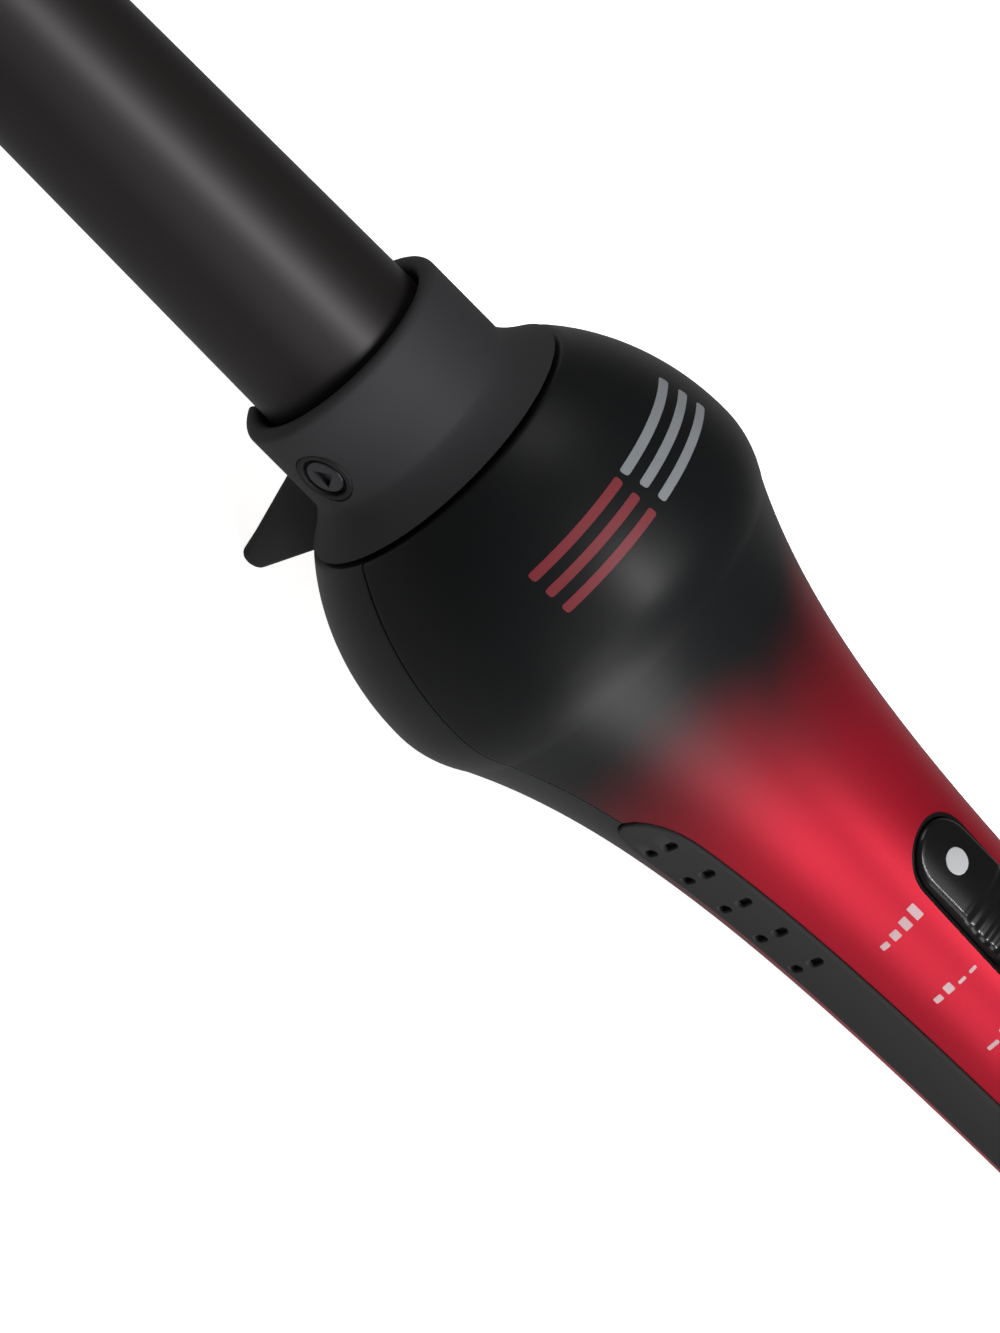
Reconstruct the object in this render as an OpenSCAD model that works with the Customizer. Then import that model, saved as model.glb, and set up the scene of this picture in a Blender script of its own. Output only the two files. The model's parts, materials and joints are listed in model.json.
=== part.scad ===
// Curling iron: a tapered barrel with a sprung hair clamp, a collar, a bulb-nosed handle in two shells,
// side grip strips, a heat slider and a swivelling cord inlet. It lies on its thumb lever and its tail.

/* [Barrel] */
// Diameter of the barrel at the collar
barrel_d = 25.4; // [19:0.1:31]
// Diameter of the barrel at its tip
barrel_tip_d = 22.4; // [17:0.1:25]
// Length of the barrel that stands out of the collar
barrel_len = 150; // [110:1:190]
// Wall of the barrel tube
barrel_wall = 1.0; // [0.8:0.1:1.4]
// Length of the cool tip cap
tip_cap_len = 16; // [12:1:22]

/* [Collar] */
// Air gap between the barrel and the collar's bore
collar_gap = 1.9; // [1.7:0.1:2.6]
// Wall of the collar
collar_wall = 1.4; // [1.2:0.1:2]
// Thickness of the collar's round lip
collar_lip = 2.6; // [1.6:0.1:2.8]
// Length of the collar's straight stretch
collar_straight = 13.4; // [12.6:0.1:18]
// Length of the flare between the straight stretch and the body
collar_flare_len = 5.1; // [4:0.1:8]
// How far the flare widens the collar's radius
collar_flare = 4.6; // [3:0.1:6]

/* [Clamp] */
// Distance of the clamp's pivot behind the collar's rim
pivot_x = 8.5; // [7.6:0.1:9]
// Diameter of the pivot screws' shoulders
pivot_d = 3; // [2.4:0.1:3.6]
// How far the clamp plate reaches from the collar's rim
plate_len = 138; // [90:1:146]
// Thickness of the clamp plate
plate_t = 0.9; // [0.7:0.1:1.1]
// Angle of the barrel that the plate covers
plate_wrap = 56; // [40:1:66]
// Thickness of the yoke
yoke_t = 1.0; // [0.8:0.1:1.2]
// Width of the thumb lever
lever_w = 20; // [15:0.5:22]
// Depth of the lever's tip below the barrel's axis
lever_depth = 34.2; // [32:0.1:40]
// Distance of the lever's tip behind the collar's rim
lever_tip_x = 19.3; // [18:0.1:21]
// Thickness of the lever at its tip
lever_tip_t = 3.8; // [3:0.1:4.6]
// Angle through which the clamp opens
open_angle = 12; // [8:0.5:13]
// Wire diameter of the clamp spring
spring_wire = 0.8; // [0.6:0.05:1]
// Outer diameter of the clamp spring
spring_d = 6; // [5:0.1:6.6]
// Turns of the clamp spring
spring_turns = 5; // [3:1:7]

/* [Body] */
// Diameter of the bulb
bulb_d = 58.8; // [54:0.1:70]
// Distance of the widest point of the bulb behind the rim
bulb_x = 42.8; // [40:0.1:52]
// Distance of the bulb's rear shoulder behind the rim
shoulder_x = 51; // [49:0.1:62]
// Diameter at the rear shoulder
shoulder_d = 54; // [50:0.1:60]
// Diameter that the grip narrows to
grip_d = 28.4; // [26:0.1:34]
// Length over which the body narrows behind the shoulder
taper_len = 27.8; // [22:0.1:34]
// Distance of the shells' rear end behind the rim
body_end = 184; // [182:1:226]
// Wall of the shells
wall = 2.2; // [1.8:0.1:2.4]
// Gap along the parting line of the shells
split_gap = 0.3; // [0.1:0.05:0.4]
// Groove between the collar and the body
seam_gap = 0.7; // [0.4:0.1:1]

/* [Grip strips] */
// Distance of a strip's pointed end behind the rim
strip_x = 68.5; // [64:0.5:76]
// Width of a strip
strip_w = 10; // [8:0.5:12]
// Depth of a strip in the shells
strip_in = 1.2; // [0.8:0.1:1.4]
// How far a strip stands out of the shells
strip_out = 0.3; // [0.1:0.1:0.6]
// Length of a slot across a strip
dimple_len = 2.4; // [1.5:0.1:3]
// Width of a slot
dimple_w = 1.1; // [0.8:0.1:1.6]
// Depth of a slot
dimple_deep = 0.8; // [0.4:0.1:1]
// Distance of the first pair of slots behind the strip's pointed end
dimple_start = 6.2; // [5:0.1:8]
// Distance between pairs of slots
dimple_pitch = 6.45; // [5:0.05:8]
// Number of pairs of slots
dimple_rows = 5; // [2:1:12]

/* [Heat slider] */
// Distance of the slider tray's front end behind the rim
tray_x = 96.5; // [92:0.5:102]
// Width of the slider tray
tray_w = 11.8; // [10:0.1:12.6]
// Wall of the tray
tray_wall = 0.5; // [0.4:0.05:0.8]
// Height of the tray's floor above the axis
tray_floor_z = 12.4; // [11.6:0.1:12.6]
// Thickness of the tray's floor
tray_floor_t = 1.0; // [0.8:0.1:1.2]
// Length of the slider knob
knob_len = 23; // [18:0.5:28]
// Radius of the knob's crown about the axis
knob_crown = 16.9; // [16.4:0.1:18]
// Distance between two heat settings
setting_step = 10.5; // [8:0.5:12.5]
// Diameter of the pointer dot
dot_d = 3.7; // [2.5:0.1:5]
// Distance of the dot behind the knob's front end
dot_x = 6.2; // [4:0.1:8]

/* [Tail] */
// Length of the tail cap
tail_len = 10; // [8:0.5:14]
// Rounding of the tail cap's edge
tail_round = 4; // [2:0.5:5]
// Diameter of the swivel's neck
neck_d = 14; // [12:0.5:15]
// Length of the swivel's gland outside the tail cap
gland_len = 12; // [8:0.5:18]
// Diameter of the cord inlet
inlet_d = 7.2; // [6:0.1:8]
// Depth of the cord inlet
inlet_deep = 14; // [10:0.5:16]

/* [Fixings] */
// Diameter of the body screws' shanks
screw_d = 3; // [2.5:0.1:3.5]
// Diameter of the body screws' heads
screw_head_d = 5.6; // [5:0.1:6]
// Diameter of the pivot screws' heads
pivot_head_d = 6; // [5:0.1:6.4]
// Outer diameter of the pivot bushes
bush_d = 8; // [7.2:0.1:8.4]

/* [Fits] */
// Gap between two fixed pieces that locate each other
seat_gap = 0.05; // [0.03:0.01:0.1]
// Gap between a turning or sliding piece and its bearing
run_gap = 0.06; // [0.03:0.01:0.1]
// Gap between pieces that move past each other
free_gap = 0.3; // [0.25:0.05:0.5]

/* [Hidden] */
$fn = 96;

// Straight through cuts run this far past the piece
past = 1;
// Longer than any cross-section of the iron
far = 100;

barrel_r = barrel_d / 2;
barrel_tip_r = barrel_tip_d / 2;
// The barrel tube reaches this far into the collar
barrel_in = 4;
function barrel_radius(x) = barrel_r + (barrel_r - barrel_tip_r) * x / barrel_len;

collar_bore_r = barrel_r + collar_gap;
collar_r = collar_bore_r + collar_wall;
collar_end = collar_straight + collar_flare_len;
seam_r = collar_r + collar_flare;
collar_lip_round = collar_lip / 2;
// The lip's bore is held close to the barrel up to the yoke
lip_back_gap = 0.5;
// The flare is a gentle curve that steepens towards the body
flare_power = 1.5;
function flare_radius(x) = collar_r + collar_flare * pow((x - collar_straight) / collar_flare_len, flare_power);

// The collar's spigot sits in the shells' front web, and its flange locks behind the web
web_t = 2.2;
spigot_r = collar_r + 1.5;
spigot_flange_r = spigot_r + 1.9;
spigot_flange_t = 1.6;
body_start = collar_end + seam_gap;
web_end = body_start + web_t;
spigot_flange_x = web_end + free_gap;
spigot_end = spigot_flange_x + spigot_flange_t;

bulb_r = bulb_d / 2;
shoulder_r = shoulder_d / 2;
grip_r = grip_d / 2;
// The nose is part of an ellipse that passes through the collar's seam
nose_len = (bulb_x - collar_end) / sqrt(1 - pow(seam_r / bulb_r, 2));
back_len = (shoulder_x - bulb_x) / sqrt(1 - pow(shoulder_r / bulb_r, 2));
function body_radius(x) =
    x < bulb_x ? bulb_r * sqrt(1 - pow((bulb_x - x) / nose_len, 2))
    : x < shoulder_x ? bulb_r * sqrt(1 - pow((x - bulb_x) / back_len, 2))
    : grip_r + (shoulder_r - grip_r) * exp((shoulder_x - x) / taper_len);
function steps(a, b, n) = [for (i = [0:n]) a + (b - a) * i / n];
nose_steps = 10;
back_steps = 5;
grip_steps = 24;

// The holder carries the barrel and is clamped between two ribs of the shells
holder_r = barrel_r - 1.5;
holder_bore_r = holder_r - 3.2;
holder_plug = 12;
holder_flange_r = holder_r + 9.8;
holder_flange_t = 3;
rib_t = 1.2;
rib_deep = 2;

// The clamp's plate lies over the barrel, and its tongue lies on the yoke
plate_gap = free_gap;
yoke_in_r = barrel_r + free_gap;
yoke_r = yoke_in_r + yoke_t;
yoke_half = 3.3;
tongue_in_r = yoke_r + seat_gap;
tongue_r = tongue_in_r + plate_t;
tongue_end = pivot_x + yoke_half - 0.3;
joggle_start = 1.4;
joggle_end = 4.4;
slot_w = lever_w + 2 * (free_gap + 0.1);
slot_top_z = sqrt(pow(collar_bore_r, 2) - pow(slot_w / 2, 2)) - 1;
// In front of the lever the slot is only as wide as the plate's tongue, and in the lip as the plate
tongue_slot_w = 2 * (tongue_r * sin(plate_wrap / 2) + free_gap + 0.1);
lip_slot_w = 2 * ((barrel_r + plate_gap + plate_t) * sin(plate_wrap / 2) + free_gap);
rivet_d = 2.2;
rivet_head_d = 3.4;
rivet_head_t = 0.6;
rivet_head_r = sqrt(pow(yoke_in_r, 2) - pow(rivet_head_d / 2, 2)) - seat_gap;
rivet_angle = 16;
rivet_into_lever = 2.4;
lever_boss_w = 14;
lever_boss_front = pivot_x - rivet_d / 2 - 0.9;
lever_boss_z = tongue_r + rivet_into_lever + 0.6;

// The lever is a wedge that stands on the tongue and narrows towards its tip
lever_saddle_r = tongue_r + seat_gap;
lever_tip_round = lever_tip_t / 2;
lever_tip_z = lever_depth - lever_tip_round;
lever_root_front = pivot_x + 0.2;
lever_root_back = 21.6;
lever_root_z = collar_bore_r - 2.6;

// The lever swings into a pocket in the lever shell, whose rear wall stops it
function swung_x(x, z) = pivot_x + (x - pivot_x) * cos(open_angle) - z * sin(open_angle);
pocket_w = slot_w + 0.6;
pocket_wall = 1.6;
pocket_end = swung_x(lever_tip_x + lever_tip_round, -lever_tip_z) + 0.6;
pocket_top_z = holder_r + 1.6;
// The lever's heel passes under the pocket's ceiling when it is pressed
lever_heel_x = pivot_x + 5;
lever_heel_z = (pocket_top_z + free_gap + (lever_root_back - pivot_x) * sin(open_angle)) / cos(open_angle);

spring_z = collar_bore_r + 6.6;
spring_seat_x = 16.6;
spring_seat_d = spring_d + 1.2;

// The slider's travel covers two steps, from the highest heat to off
knob_x = tray_x + tray_wall + 0.2;
knob_w = tray_w - 2 * tray_wall - 0.4;
slider_travel = 2 * setting_step;
tray_end = knob_x + knob_len + slider_travel + 0.2 + tray_wall;
knob_base_z = tray_floor_z + 0.2;
stem_x = knob_x + knob_len / 2;
stem_len = 4;
stem_w = 2.6;
stem_top_z = 14.6;
stem_slot_w = stem_w + 2 * free_gap;
carrier_z = 9.8;
carrier_t = 1.0;
carrier_len = 9;
carrier_w = 6.6;
prong_t = 1.2;
actuator_len = 3;
actuator_w = 2.4;
actuator_top_z = 9.3;
prong_low_z = 7.7;

board_x = 88;
board_end = tray_end + 9;
board_w = 18;
board_z = 0.6;
board_t = 1.6;
board_top = board_z + board_t;
switch_h = 4.9;
switch_top = board_top + switch_h;
switch_w = 8;
switch_x = stem_x - 9;
switch_end = stem_x + slider_travel + 9;

// Screws of the body: two in the bulb, one in the taper and one before the tail, as [x, y, seat depth]
screw_places = [[47, 17, 12], [47, -17, 12], [76, 0, 9], [body_end - 24, 0, 6.5]];
boss_r = 3.4;
screw_head_t = 1.8;
screw_reach = 7;

cap_end = body_end + free_gap + tail_len;
cap_r = body_radius(body_end);
cap_spigot_r = cap_r - wall - seat_gap;
cap_spigot_len = 8;
neck_r = neck_d / 2;
swivel_flange_r = neck_r + 2.2;
swivel_flange_t = 2;
swivel_flange_x = cap_end - 6;
gland_x = cap_end + 0.5;
gland_end = gland_x + gland_len;
gland_big_r = neck_r + 1.4;
gland_small_r = inlet_d / 2 + 2.2;
stem_r = 4;
swivel_stem_x = body_end - 14;
wire_hole_r = 2.2;
contact_ring_r = 5;
contact_ring_t = 2;
contact_ring_places = [swivel_stem_x + 2, swivel_stem_x + 7];

// The iron lies on the lever's tip and the tail cap's rounded edge, which sets its tilt
rest_dx = (cap_end - tail_round) - lever_tip_x;
rest_dz = lever_tip_z - (cap_r - tail_round);
tilt = atan2(rest_dz, rest_dx) + asin((lever_tip_round - tail_round) / norm([rest_dx, rest_dz]));
lift = lever_tip_x * sin(tilt) + lever_tip_z * cos(tilt) + lever_tip_round;
tip_round = 3.2;
tip_end = barrel_len + tip_cap_len;
lowest_x = -(tip_end - tip_round) * cos(tilt) - (barrel_tip_r - tip_round) * sin(tilt) - tip_round;
highest_x = gland_end * cos(tilt) + gland_small_r * sin(tilt);
shift_x = -(lowest_x + highest_x) / 2;

// --- helpers ---

// Stands the iron on its lever and its tail, with the origin on the table under its middle
module lay() { translate([shift_x, 0, lift]) rotate([0, tilt, 0]) children(); }

// Turns an outline of [radius, distance along the axis] about the iron's axis
module revolve(outline) { rotate([0, 90, 0]) rotate_extrude() polygon(outline); }

// The same, over an angle centred on the lever's side
module revolve_part(outline, angle) {
    rotate([0, 90, 0]) rotate([0, 0, -angle / 2]) rotate_extrude(angle = angle) polygon(outline);
}

// A rod along the iron's axis
module rod(x0, x1, r) { translate([x0, 0, 0]) rotate([0, 90, 0]) cylinder(r = r, h = x1 - x0); }

// A tube along the iron's axis
module tube(x0, x1, r_out, r_in) {
    revolve([[r_in, x0], [r_out, x0], [r_out, x1], [r_in, x1]]);
}

// A box given by its lowest and highest corners
module block(low, high) { translate(low) cube(high - low); }

// Extrudes an outline in the iron's length and height across its width
module across(w) { rotate([90, 0, 0]) linear_extrude(height = w, center = true) children(); }

// Extrudes an outline in the iron's length and width between two heights
module upward(z0, z1) { translate([0, 0, z0]) linear_extrude(height = z1 - z0) children(); }

// A flat outline with round ends
module pill(x0, x1, w) {
    translate([x0 + w / 2, -w / 2]) square([x1 - x0 - w, w]);
    for (x = [x0 + w / 2, x1 - w / 2]) translate([x, 0]) circle(d = w);
}

// A wire through a list of points, with mitred bends
wire_sides = 8;
function wire_way(points, i) =
    let (a = points[max(i - 1, 0)], b = points[min(i + 1, len(points) - 1)]) (b - a) / norm(b - a);
function wire_point(points, r, i, k) =
    let (way = wire_way(points, i), side = cross([0, 0, 1], way) / norm(cross([0, 0, 1], way)),
         up = cross(way, side), a = 360 * k / wire_sides)
    points[i] + r * cos(a) * side + r * sin(a) * up;
module wire(points, r) {
    last = len(points) - 1;
    polyhedron(
        points = [for (i = [0:last]) for (k = [0:wire_sides - 1]) wire_point(points, r, i, k)],
        faces = concat(
            [for (i = [0:last - 1]) for (k = [0:wire_sides - 1])
                let (n = (k + 1) % wire_sides)
                [i * wire_sides + k, (i + 1) * wire_sides + k, (i + 1) * wire_sides + n, i * wire_sides + n]],
            [[for (k = [0:wire_sides - 1]) k]],
            [[for (k = [wire_sides - 1:-1:0]) last * wire_sides + k]]));
}

// The body's skin between two depths below its surface
function skin_outline(x0, x1, n, out, deep) = concat(
    [for (x = steps(x0, x1, n)) [body_radius(x) + out, x]],
    [for (x = steps(x1, x0, n)) [body_radius(x) - deep, x]]);

// --- barrel ---

module barrel_tube() color("#2b2725") lay()
    revolve([
        [barrel_radius(-barrel_len), -barrel_len],
        [barrel_radius(0), 0],
        [barrel_r, barrel_in],
        [barrel_r - barrel_wall, barrel_in],
        [barrel_radius(0) - barrel_wall, 0],
        [barrel_radius(-barrel_len) - barrel_wall, -barrel_len]]);

module tip_cap() color("#1a1a1b") lay() {
    plug_r = barrel_tip_r - barrel_wall - seat_gap;
    end_angles = [0, 15, 30, 45, 60, 75, 90];
    revolve(concat(
        [[0, -barrel_len - 4], [plug_r - 1.5, -barrel_len - 4], [plug_r - 1.5, -barrel_len + 8],
         [plug_r, -barrel_len + 8], [plug_r, -barrel_len - seat_gap],
         [barrel_tip_r, -barrel_len - seat_gap]],
        [for (a = end_angles)
            [barrel_tip_r - tip_round + tip_round * cos(a), -tip_end + tip_round - tip_round * sin(a)]],
        [[0, -tip_end]]));
}

heater_x0 = -118;
heater_x1 = -38;
heater_w = 12;
heater_t = 1.6;
function spreader_radius(x) = barrel_radius(x) - barrel_wall - 0.35;

module heater_plate() color("#d9d4c8") lay()
    block([heater_x0, -heater_w / 2, -heater_t / 2], [heater_x1, heater_w / 2, heater_t / 2]);

module spreader(side) {
    low = heater_t / 2 + seat_gap;
    intersection() {
        revolve([[0, heater_x0], [spreader_radius(heater_x0), heater_x0],
                 [spreader_radius(heater_x1), heater_x1], [0, heater_x1]]);
        difference() {
            scale([1, 1, side])
                block([heater_x0 - past, -far, low], [heater_x1 + past, far, far]);
            scale([1, 1, side])
                translate([heater_x0 - past, 0, low + 4.6]) rotate([0, 90, 0])
                    cylinder(r = 2.6, h = heater_x1 - heater_x0 + 2 * past);
        }
    }
}

module heat_spreader_upper() color("#b9bcc0") lay() spreader(1);

module heat_spreader_lower() color("#b9bcc0") lay() spreader(-1);

module spreader_spring() color("#9a9da1") lay()
    for (x = [heater_x0 + 12, heater_x1 - 20])
        translate([x, 0, heater_t / 2 + seat_gap + 4.6]) rotate([0, 90, 0])
            difference() {
                cylinder(r = 2.45, h = 8);
                translate([0, 0, -past]) cylinder(r = 1.95, h = 8 + 2 * past);
            }

module thermistor() color("#c46a2a") lay()
    translate([heater_x1 - 44, 0, -heater_t / 2 - seat_gap - 4.6]) rotate([0, 90, 0]) cylinder(r = 1.4, h = 9);

module thermal_fuse() color("#d8d8da") lay() {
    rod(heater_x1 + 6, heater_x1 + 17, 1.9);
    for (x = [heater_x1 + 4, heater_x1 + 17]) rod(x, x + 2, 0.5);
}

lead_r = 0.9;
terminal_x = 57;
terminal_len = 12;

module heater_leads() color("#e8e4da") lay()
    for (side = [-1, 1])
        wire([[heater_x1 + 0.6, side * 3.4, 0], [heater_x1 + 8, side * 5, 0], [6, side * 5, 0],
              [36, side * 5, 0], [terminal_x - 1.2, side * 4, 0]], lead_r);

// --- barrel holder and collar ---

holder_flange_x = pocket_end + pocket_wall + rib_t + 0.5;

module barrel_holder() color("#3a2f28") lay() difference() {
    union() {
        rod(-holder_plug, barrel_in, barrel_radius(-holder_plug) - barrel_wall - seat_gap);
        rod(barrel_in - past, holder_flange_x + past, holder_r);
        rod(holder_flange_x, holder_flange_x + holder_flange_t, holder_flange_r);
    }
    rod(-holder_plug - past, holder_flange_x + holder_flange_t + past, holder_bore_r);
    for (side = [-1, 1])
        translate([barrel_in / 2, 0, 0]) rotate([side * 90, 0, 0])
            translate([0, 0, holder_bore_r - past]) cylinder(r = 0.8 + seat_gap, h = far);
}

module barrel_screws() color("#8d8f92") lay()
    for (side = [-1, 1])
        translate([barrel_in / 2, 0, 0]) rotate([side * 90, 0, 0])
            translate([0, 0, holder_bore_r + 0.8])
                cylinder(r = 0.8, h = barrel_r - barrel_wall - holder_bore_r - 1.0);

module collar() color("#38393c") lay() {
    lip_angles = [-90:22.5:90];
    lip_back = pivot_x - yoke_half - lip_back_gap;
    flare_steps = 6;
    difference() {
        revolve(concat(
            [[collar_bore_r, spigot_end], [collar_bore_r, lip_back], [collar_r - collar_lip, lip_back]],
            [for (a = lip_angles)
                [collar_r - collar_lip_round + collar_lip_round * sin(a),
                 collar_lip_round - collar_lip_round * cos(a)]],
            [for (x = steps(collar_straight, collar_end, flare_steps)) [flare_radius(x), x]],
            [[spigot_r, collar_end], [spigot_r, spigot_flange_x],
             [spigot_flange_r, spigot_flange_x], [spigot_flange_r, spigot_end]]));
        block([-past, -lip_slot_w / 2, -far], [spigot_end + past, lip_slot_w / 2, -slot_top_z]);
        block([collar_lip, -tongue_slot_w / 2, -far], [spigot_end + past, tongue_slot_w / 2, -slot_top_z]);
        block([lever_root_front - free_gap, -slot_w / 2, -far], [spigot_end + past, slot_w / 2, -slot_top_z]);
        for (side = [-1, 1])
            translate([pivot_x, 0, 0]) rotate([side * 90, 0, 0])
                cylinder(d = bush_d + 2 * seat_gap, h = far);
    }
}

// --- clamp pivots ---

bush_in_r = collar_bore_r - 0.1;
bush_out_r = collar_r - 0.25;
pivot_head_t = 0.75;

module pivot_bushes() color("#1c1c1e") lay()
    for (side = [-1, 1])
        translate([pivot_x, 0, 0]) rotate([side * 90, 0, 0]) difference() {
            translate([0, 0, bush_in_r]) cylinder(d = bush_d, h = bush_out_r - bush_in_r);
            cylinder(d = pivot_d + 2 * seat_gap, h = far);
            translate([0, 0, bush_out_r - pivot_head_t - seat_gap])
                cylinder(d = pivot_head_d + 2 * seat_gap, h = far);
        }

module pivot_screws() color("#6f7175") lay()
    for (side = [-1, 1])
        translate([pivot_x, 0, 0]) rotate([side * 90, 0, 0]) difference() {
            union() {
                translate([0, 0, holder_r + 0.4])
                    cylinder(d = pivot_d, h = bush_out_r - pivot_head_t - holder_r);
                translate([0, 0, bush_out_r - pivot_head_t]) cylinder(d = pivot_head_d, h = pivot_head_t + 0.15);
            }
            translate([0, 0, bush_out_r - 0.35]) linear_extrude(height = far) circle(d = 3.4, $fn = 3);
        }

// --- clamp ---

module clamp_plate() color("#2d2927") lay() difference() {
    inner = barrel_radius(0) + plate_gap;
    tip_inner = barrel_radius(-plate_len) + plate_gap;
    revolve_part([
        [tip_inner, -plate_len], [tip_inner + plate_t, -plate_len],
        [inner + plate_t, joggle_start], [tongue_r, joggle_end], [tongue_r, tongue_end],
        [tongue_in_r, tongue_end], [tongue_in_r, joggle_end], [inner, joggle_start]], plate_wrap);
    rivet_row() translate([0, 0, -far]) cylinder(d = rivet_d + 2 * seat_gap, h = far);
}

// The two places round the yoke where the rivets stand, pointing out of the axis
module rivet_row() {
    for (side = [-1, 1])
        translate([pivot_x, 0, 0]) rotate([side * rivet_angle, 0, 0]) children();
}

module clamp_yoke() color("#8a8c90") lay() difference() {
    intersection() {
        tube(pivot_x - yoke_half, pivot_x + yoke_half, yoke_r, yoke_in_r);
        across(far) union() {
            translate([pivot_x, 0]) circle(r = yoke_half);
            translate([pivot_x - yoke_half, -far]) square([2 * yoke_half, far]);
        }
    }
    translate([pivot_x, 0, 0]) rotate([90, 0, 0])
        cylinder(d = pivot_d + 2 * run_gap, h = far, center = true);
    rivet_row() translate([0, 0, -far]) cylinder(d = rivet_d + 2 * seat_gap, h = far);
}

module clamp_rivets() color("#a2a4a8") lay()
    rivet_row() mirror([0, 0, 1]) {
        translate([0, 0, rivet_head_r - rivet_head_t]) cylinder(d = rivet_head_d, h = rivet_head_t);
        translate([0, 0, rivet_head_r - rivet_head_t])
            cylinder(d = rivet_d, h = rivet_head_t + lever_saddle_r - rivet_head_r + rivet_into_lever);
    }

// Side view of the lever, in the iron's length and height
module lever_outline() {
    tip_front = lever_tip_x - lever_tip_round;
    tip_back = lever_tip_x + lever_tip_round;
    polygon([[lever_root_front, -lever_root_z], [tip_front, -lever_tip_z],
             [tip_back, -lever_tip_z], [lever_root_back, -lever_heel_z], [lever_heel_x, -lever_root_z]]);
    translate([lever_tip_x, -lever_tip_z]) circle(r = lever_tip_round);
}

module clamp_lever() color("#232427") lay() difference() {
    union() {
        across(lever_w) lever_outline();
        block([lever_boss_front, -lever_boss_w / 2, -lever_boss_z],
              [lever_heel_x, lever_boss_w / 2, -lever_root_z]);
    }
    rod(-past, far, lever_saddle_r);
    rod(pivot_x + yoke_half, far, lever_saddle_r + 0.9);
    rivet_row() translate([0, 0, -lever_saddle_r - rivet_into_lever - seat_gap])
        cylinder(d = rivet_d + 2 * seat_gap, h = far);
    translate([spring_seat_x, 0, -spring_z]) rotate([0, 90, 0]) cylinder(d = spring_seat_d, h = far);
}

// Points of the spring's wire at one station, for a round section of so many sides
spring_x0 = spring_seat_x + spring_wire / 2 + 0.05;
spring_x1 = pocket_end - spring_wire / 2 - 0.05;
spring_sides = 8;
spring_rings = 20 * spring_turns;
function spring_point(i, k) =
    let (t = i / spring_rings,
         a = 360 * spring_turns * t,
         b = 360 * k / spring_sides,
         r = (spring_d - spring_wire) / 2 + spring_wire / 2 * cos(b))
    [spring_x0 + (spring_x1 - spring_x0) * t + spring_wire / 2 * sin(b), r * cos(a), r * sin(a) - spring_z];

module clamp_spring() color("#b5b7ba") lay() {
    points = [for (i = [0:spring_rings]) for (k = [0:spring_sides - 1]) spring_point(i, k)];
    sides = [for (i = [0:spring_rings - 1]) for (k = [0:spring_sides - 1])
        let (n = (k + 1) % spring_sides)
        [i * spring_sides + k, i * spring_sides + n, (i + 1) * spring_sides + n, (i + 1) * spring_sides + k]];
    front = [for (k = [spring_sides - 1:-1:0]) k];
    back = [for (k = [0:spring_sides - 1]) spring_rings * spring_sides + k];
    polyhedron(points = points, faces = concat(sides, [front, back]));
}

// --- body shells ---

// The two shells before they are parted: skin, front web, ribs and the tail's opening
module body_tube() {
    revolve(concat(
        [for (x = steps(body_start, bulb_x, nose_steps)) [body_radius(x), x]],
        [for (x = steps(bulb_x, shoulder_x, back_steps)) [body_radius(x), x]],
        [for (x = steps(shoulder_x, body_end, grip_steps)) [body_radius(x), x]],
        [for (x = steps(body_end, shoulder_x, grip_steps)) [body_radius(x) - wall, x]],
        [for (x = steps(shoulder_x, bulb_x, back_steps)) [body_radius(x) - wall, x]],
        [for (x = steps(bulb_x, web_end, nose_steps)) [body_radius(x) - wall, x]],
        [[spigot_r + seat_gap, web_end], [spigot_r + seat_gap, body_start]]));
    for (x = [holder_flange_x - rib_t - 0.1, holder_flange_x + holder_flange_t + 0.1])
        revolve([[holder_flange_r - rib_deep, x], [body_radius(x) - wall / 2, x],
                 [body_radius(x) - wall / 2, x + rib_t], [holder_flange_r - rib_deep, x + rib_t]]);
}

// Side view of a grip strip: a pointed front, straight edges and a round rear end
module strip_outline(grow) {
    half = strip_w / 2 + grow;
    front = strip_x - grow;
    nose = 9;
    nose_steps = 8;
    strip_end = body_end - 4 + grow;
    polygon(concat(
        [for (i = [0:nose_steps]) let (t = i / nose_steps) [front + nose * t, half * sqrt(1 - pow(1 - t, 2.2))]],
        [for (a = [90:-15:-90]) [strip_end - half + half * cos(a), half * sin(a)]],
        [for (i = [nose_steps:-1:1]) let (t = i / nose_steps)
            [front + nose * t, -half * sqrt(1 - pow(1 - t, 2.2))]]));
}

// The room for a grip strip on one side of the body
module strip_room(side, grow) {
    intersection() {
        revolve(skin_outline(strip_x - 2, body_end - 2, grip_steps, 3, strip_in + grow));
        translate([0, side * far / 2, 0]) across(far) strip_outline(grow);
    }
}

// A screw boss that ends inside the shell's wall
module boss(place, up) {
    intersection() {
        revolve(concat(
            [[0, place.x - 2 * boss_r]],
            [for (x = steps(place.x - 2 * boss_r, place.x + 2 * boss_r, 8)) [body_radius(x) - wall / 2, x]],
            [[0, place.x + 2 * boss_r]]));
        scale([1, 1, up]) translate([place.x, place.y, split_gap / 2]) cylinder(r = boss_r, h = far);
    }
}

module half_space(up) {
    scale([1, 1, up]) block([0, -far, split_gap / 2], [2 * far + body_end, far, far]);
}

module control_shell() color("#8c1c24") lay() difference() {
    union() {
        intersection() { body_tube(); half_space(1); }
        for (place = screw_places) boss(place, 1);
    }
    for (side = [-1, 1]) strip_room(side, seat_gap);
    for (place = screw_places)
        translate([place.x, place.y, -past]) cylinder(d = screw_d + 2 * seat_gap, h = past + screw_reach + 1);
    upward(tray_floor_z - tray_floor_t - past, far)
        pill(tray_x - seat_gap, tray_end + seat_gap, tray_w + 2 * seat_gap);
}

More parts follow.
